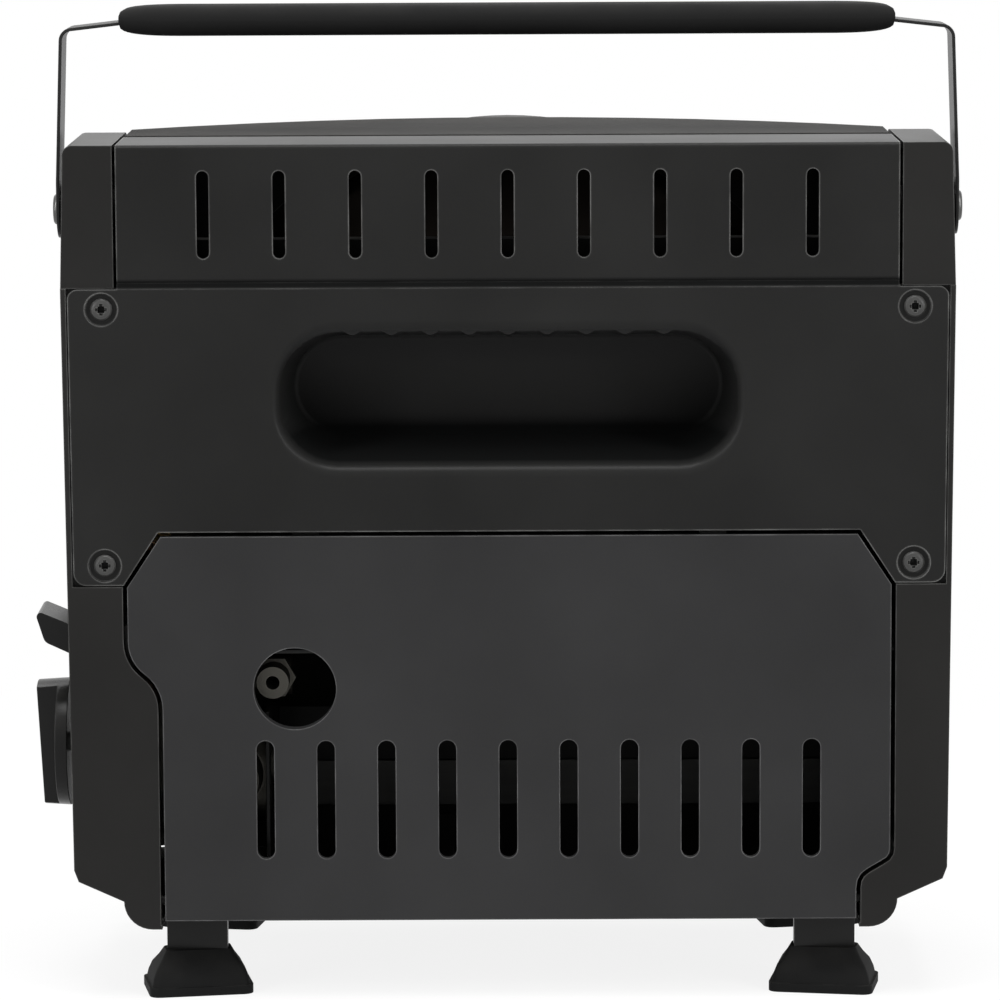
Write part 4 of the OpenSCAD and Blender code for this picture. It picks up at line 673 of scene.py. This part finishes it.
# %% A modifier that shades every face smooth
smooth_group = bpy.data.node_groups.new("shade_smooth", "GeometryNodeTree")
for direction in ("INPUT", "OUTPUT"):
    smooth_group.interface.new_socket("Geometry", in_out=direction,
                                      socket_type="NodeSocketGeometry")
shade = smooth_group.nodes.new("GeometryNodeSetShadeSmooth")
smooth_group.links.new(smooth_group.nodes.new("NodeGroupInput").outputs[0], shade.inputs[0])
smooth_group.links.new(shade.outputs[0], smooth_group.nodes.new("NodeGroupOutput").inputs[0])
print("modifier", smooth_group.name)


# %% The function that softens a part
def soften(name, width):
    """Bevels every sharp edge of a part by a width in millimetres."""
    piece = parts[name]
    weld = piece.modifiers.new("weld_points", "WELD")
    weld.merge_threshold = 2e-6
    join = piece.modifiers.new("join_flats", "DECIMATE")
    join.decimate_type = "DISSOLVE"
    join.angle_limit = math.radians(0.5)
    bevel = piece.modifiers.new("soft_edges", "BEVEL")
    bevel.width = width * MM
    bevel.segments = 3
    bevel.limit_method = "ANGLE"
    bevel.angle_limit = math.radians(32)
    smooth = piece.modifiers.new("shade_smooth", "NODES")
    smooth.node_group = smooth_group
    weights = piece.modifiers.new("flat_shading", "WEIGHTED_NORMAL")
    weights.weight = 60


print("soften() is ready")

# %% [markdown]
# The housings have round moulded edges, and so have the lever and the knob, which fingers
# press. Folded sheet keeps a crisp edge. Round rods and wires stay as they are, and so does
# the valve's body, in whose bore the spindle turns.

# %% Soften the parts
edge_widths = {  # millimetres
    1.1: ["side_housing_right", "side_housing_left"],
    1.5: ["lock_lever"],
    0.9: ["control_knob"],
    0.55: ["rear_cover", "fuel_door"],
    0.35: ["bezel_ring", "leg_right", "leg_left", "regulator_body",
           "regulator_cap", "piezo_igniter", "cartridge_cradle"],
    0.25: ["rubber_shoes", "handle_strap", "top_deck", "front_fascia", "base_pan", "cover_screws",
           "handle_screws", "handle_washers", "leg_screws", "mixing_tube", "gas_jet",
           "hose_inlet", "burner_cup", "control_bracket", "cartridge_sled", "heat_shield",
           "bay_shield", "bay_end_plate", "guard_clips", "sensor_bracket", "door_catches"],
}
for width, names in edge_widths.items():
    for name in names:
        soften(name, width)
print(sum(len(names) for names in edge_widths.values()), "parts softened")

# %% [markdown]
# ## The grip
#
# The grip changes its section all along, so flat cuts would show. It is skinned: rings of
# points are set one after another, and faces join each ring to the next. The same rounded
# rectangle makes every ring, with enough points for a smooth corner.

# %% Rounded rings and the skin over them
def rounded_ring(width, depth, corner, steps=7):
    """Points of a width by depth rectangle with rounded corners, anticlockwise, in millimetres."""
    points = []
    for quarter in range(4):
        side_x = 1 if quarter in (0, 3) else -1
        side_y = 1 if quarter < 2 else -1
        for step in range(steps + 1):
            turn = math.radians(90 * (quarter + step / steps))
            points.append((side_x * (width / 2 - corner) + corner * math.cos(turn),
                           side_y * (depth / 2 - corner) + corner * math.sin(turn)))
    return points


def skin(name, rings, slot_name):
    """A closed mesh over rings of equal length, with its finish; returns the object."""
    count = len(rings[0])
    faces = [tuple(range(count))[::-1], tuple(range((len(rings) - 1) * count, len(rings) * count))]
    for low in range(0, (len(rings) - 1) * count, count):
        for i in range(count):
            j = (i + 1) % count
            faces.append((low + i, low + j, low + count + j, low + count + i))
    mesh = bpy.data.meshes.new(name)
    mesh.from_pydata([point for ring in rings for point in ring], [], faces)
    mesh.materials.append(finishes[slot_name])
    for face in mesh.polygons:
        face.use_smooth = len(face.vertices) == 4
    made = bpy.data.objects.new(name, mesh)
    bpy.context.scene.collection.objects.link(made)
    return made


print("a ring has", len(rounded_ring(20, 10, 3)), "points")

# %% [markdown]
# The grip is a flat bar of plastic round the steel strap. Its ends are pinched thin, so that
# the strap comes out of them without a step. The pinch follows a quarter of an ellipse, a
# little fuller than a true one, with its rings closer together towards the end.

# %% Measure the grip
grip_low, grip_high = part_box("handle_grip")
grip_middle = (grip_low + grip_high) / 2
grip_length = (grip_high.x - grip_low.x) / MM
grip_thick = (grip_high.z - grip_low.z) / MM
grip_width = (grip_high.y - grip_low.y) / MM
strap_top = (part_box("handle_strap")[1].z - grip_middle.z) / MM
print("grip", round(grip_length, 1), "by", round(grip_width, 1), "by", round(grip_thick, 1), "mm")

# %% Skin the grip
pinched_length, end_above_strap, end_narrower = 20, 0.9, 2  # millimetres
end_share, fullness, crowding, pinch_steps = 0.24, 2.3, 1.5, 12
grip_rings = []
for side in (-1, 1):
    half = []
    for step in range(pinch_steps + 1):
        run = step / pinch_steps
        share = end_share + (1 - end_share) * math.sqrt(1 - (1 - run) ** fullness)
        thick = grip_thick * share
        wide = grip_width - end_narrower * (1 - share)
        lift = (strap_top + end_above_strap) * (1 - share)
        x = side * (grip_length / 2 - pinched_length * run ** crowding)
        half.append([(grip_middle.x + x * MM, grip_middle.y + a * MM,
                      grip_middle.z + (b + lift) * MM)
                     for a, b in rounded_ring(wide, thick, thick / 2 - 0.1)])
    grip_rings += half if side < 0 else half[::-1]
grip = skin("grip", grip_rings, "grip_plastic")
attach(grip, "handle")
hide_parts("handle_grip")
print("grip skinned with", len(grip.data.polygons), "faces")
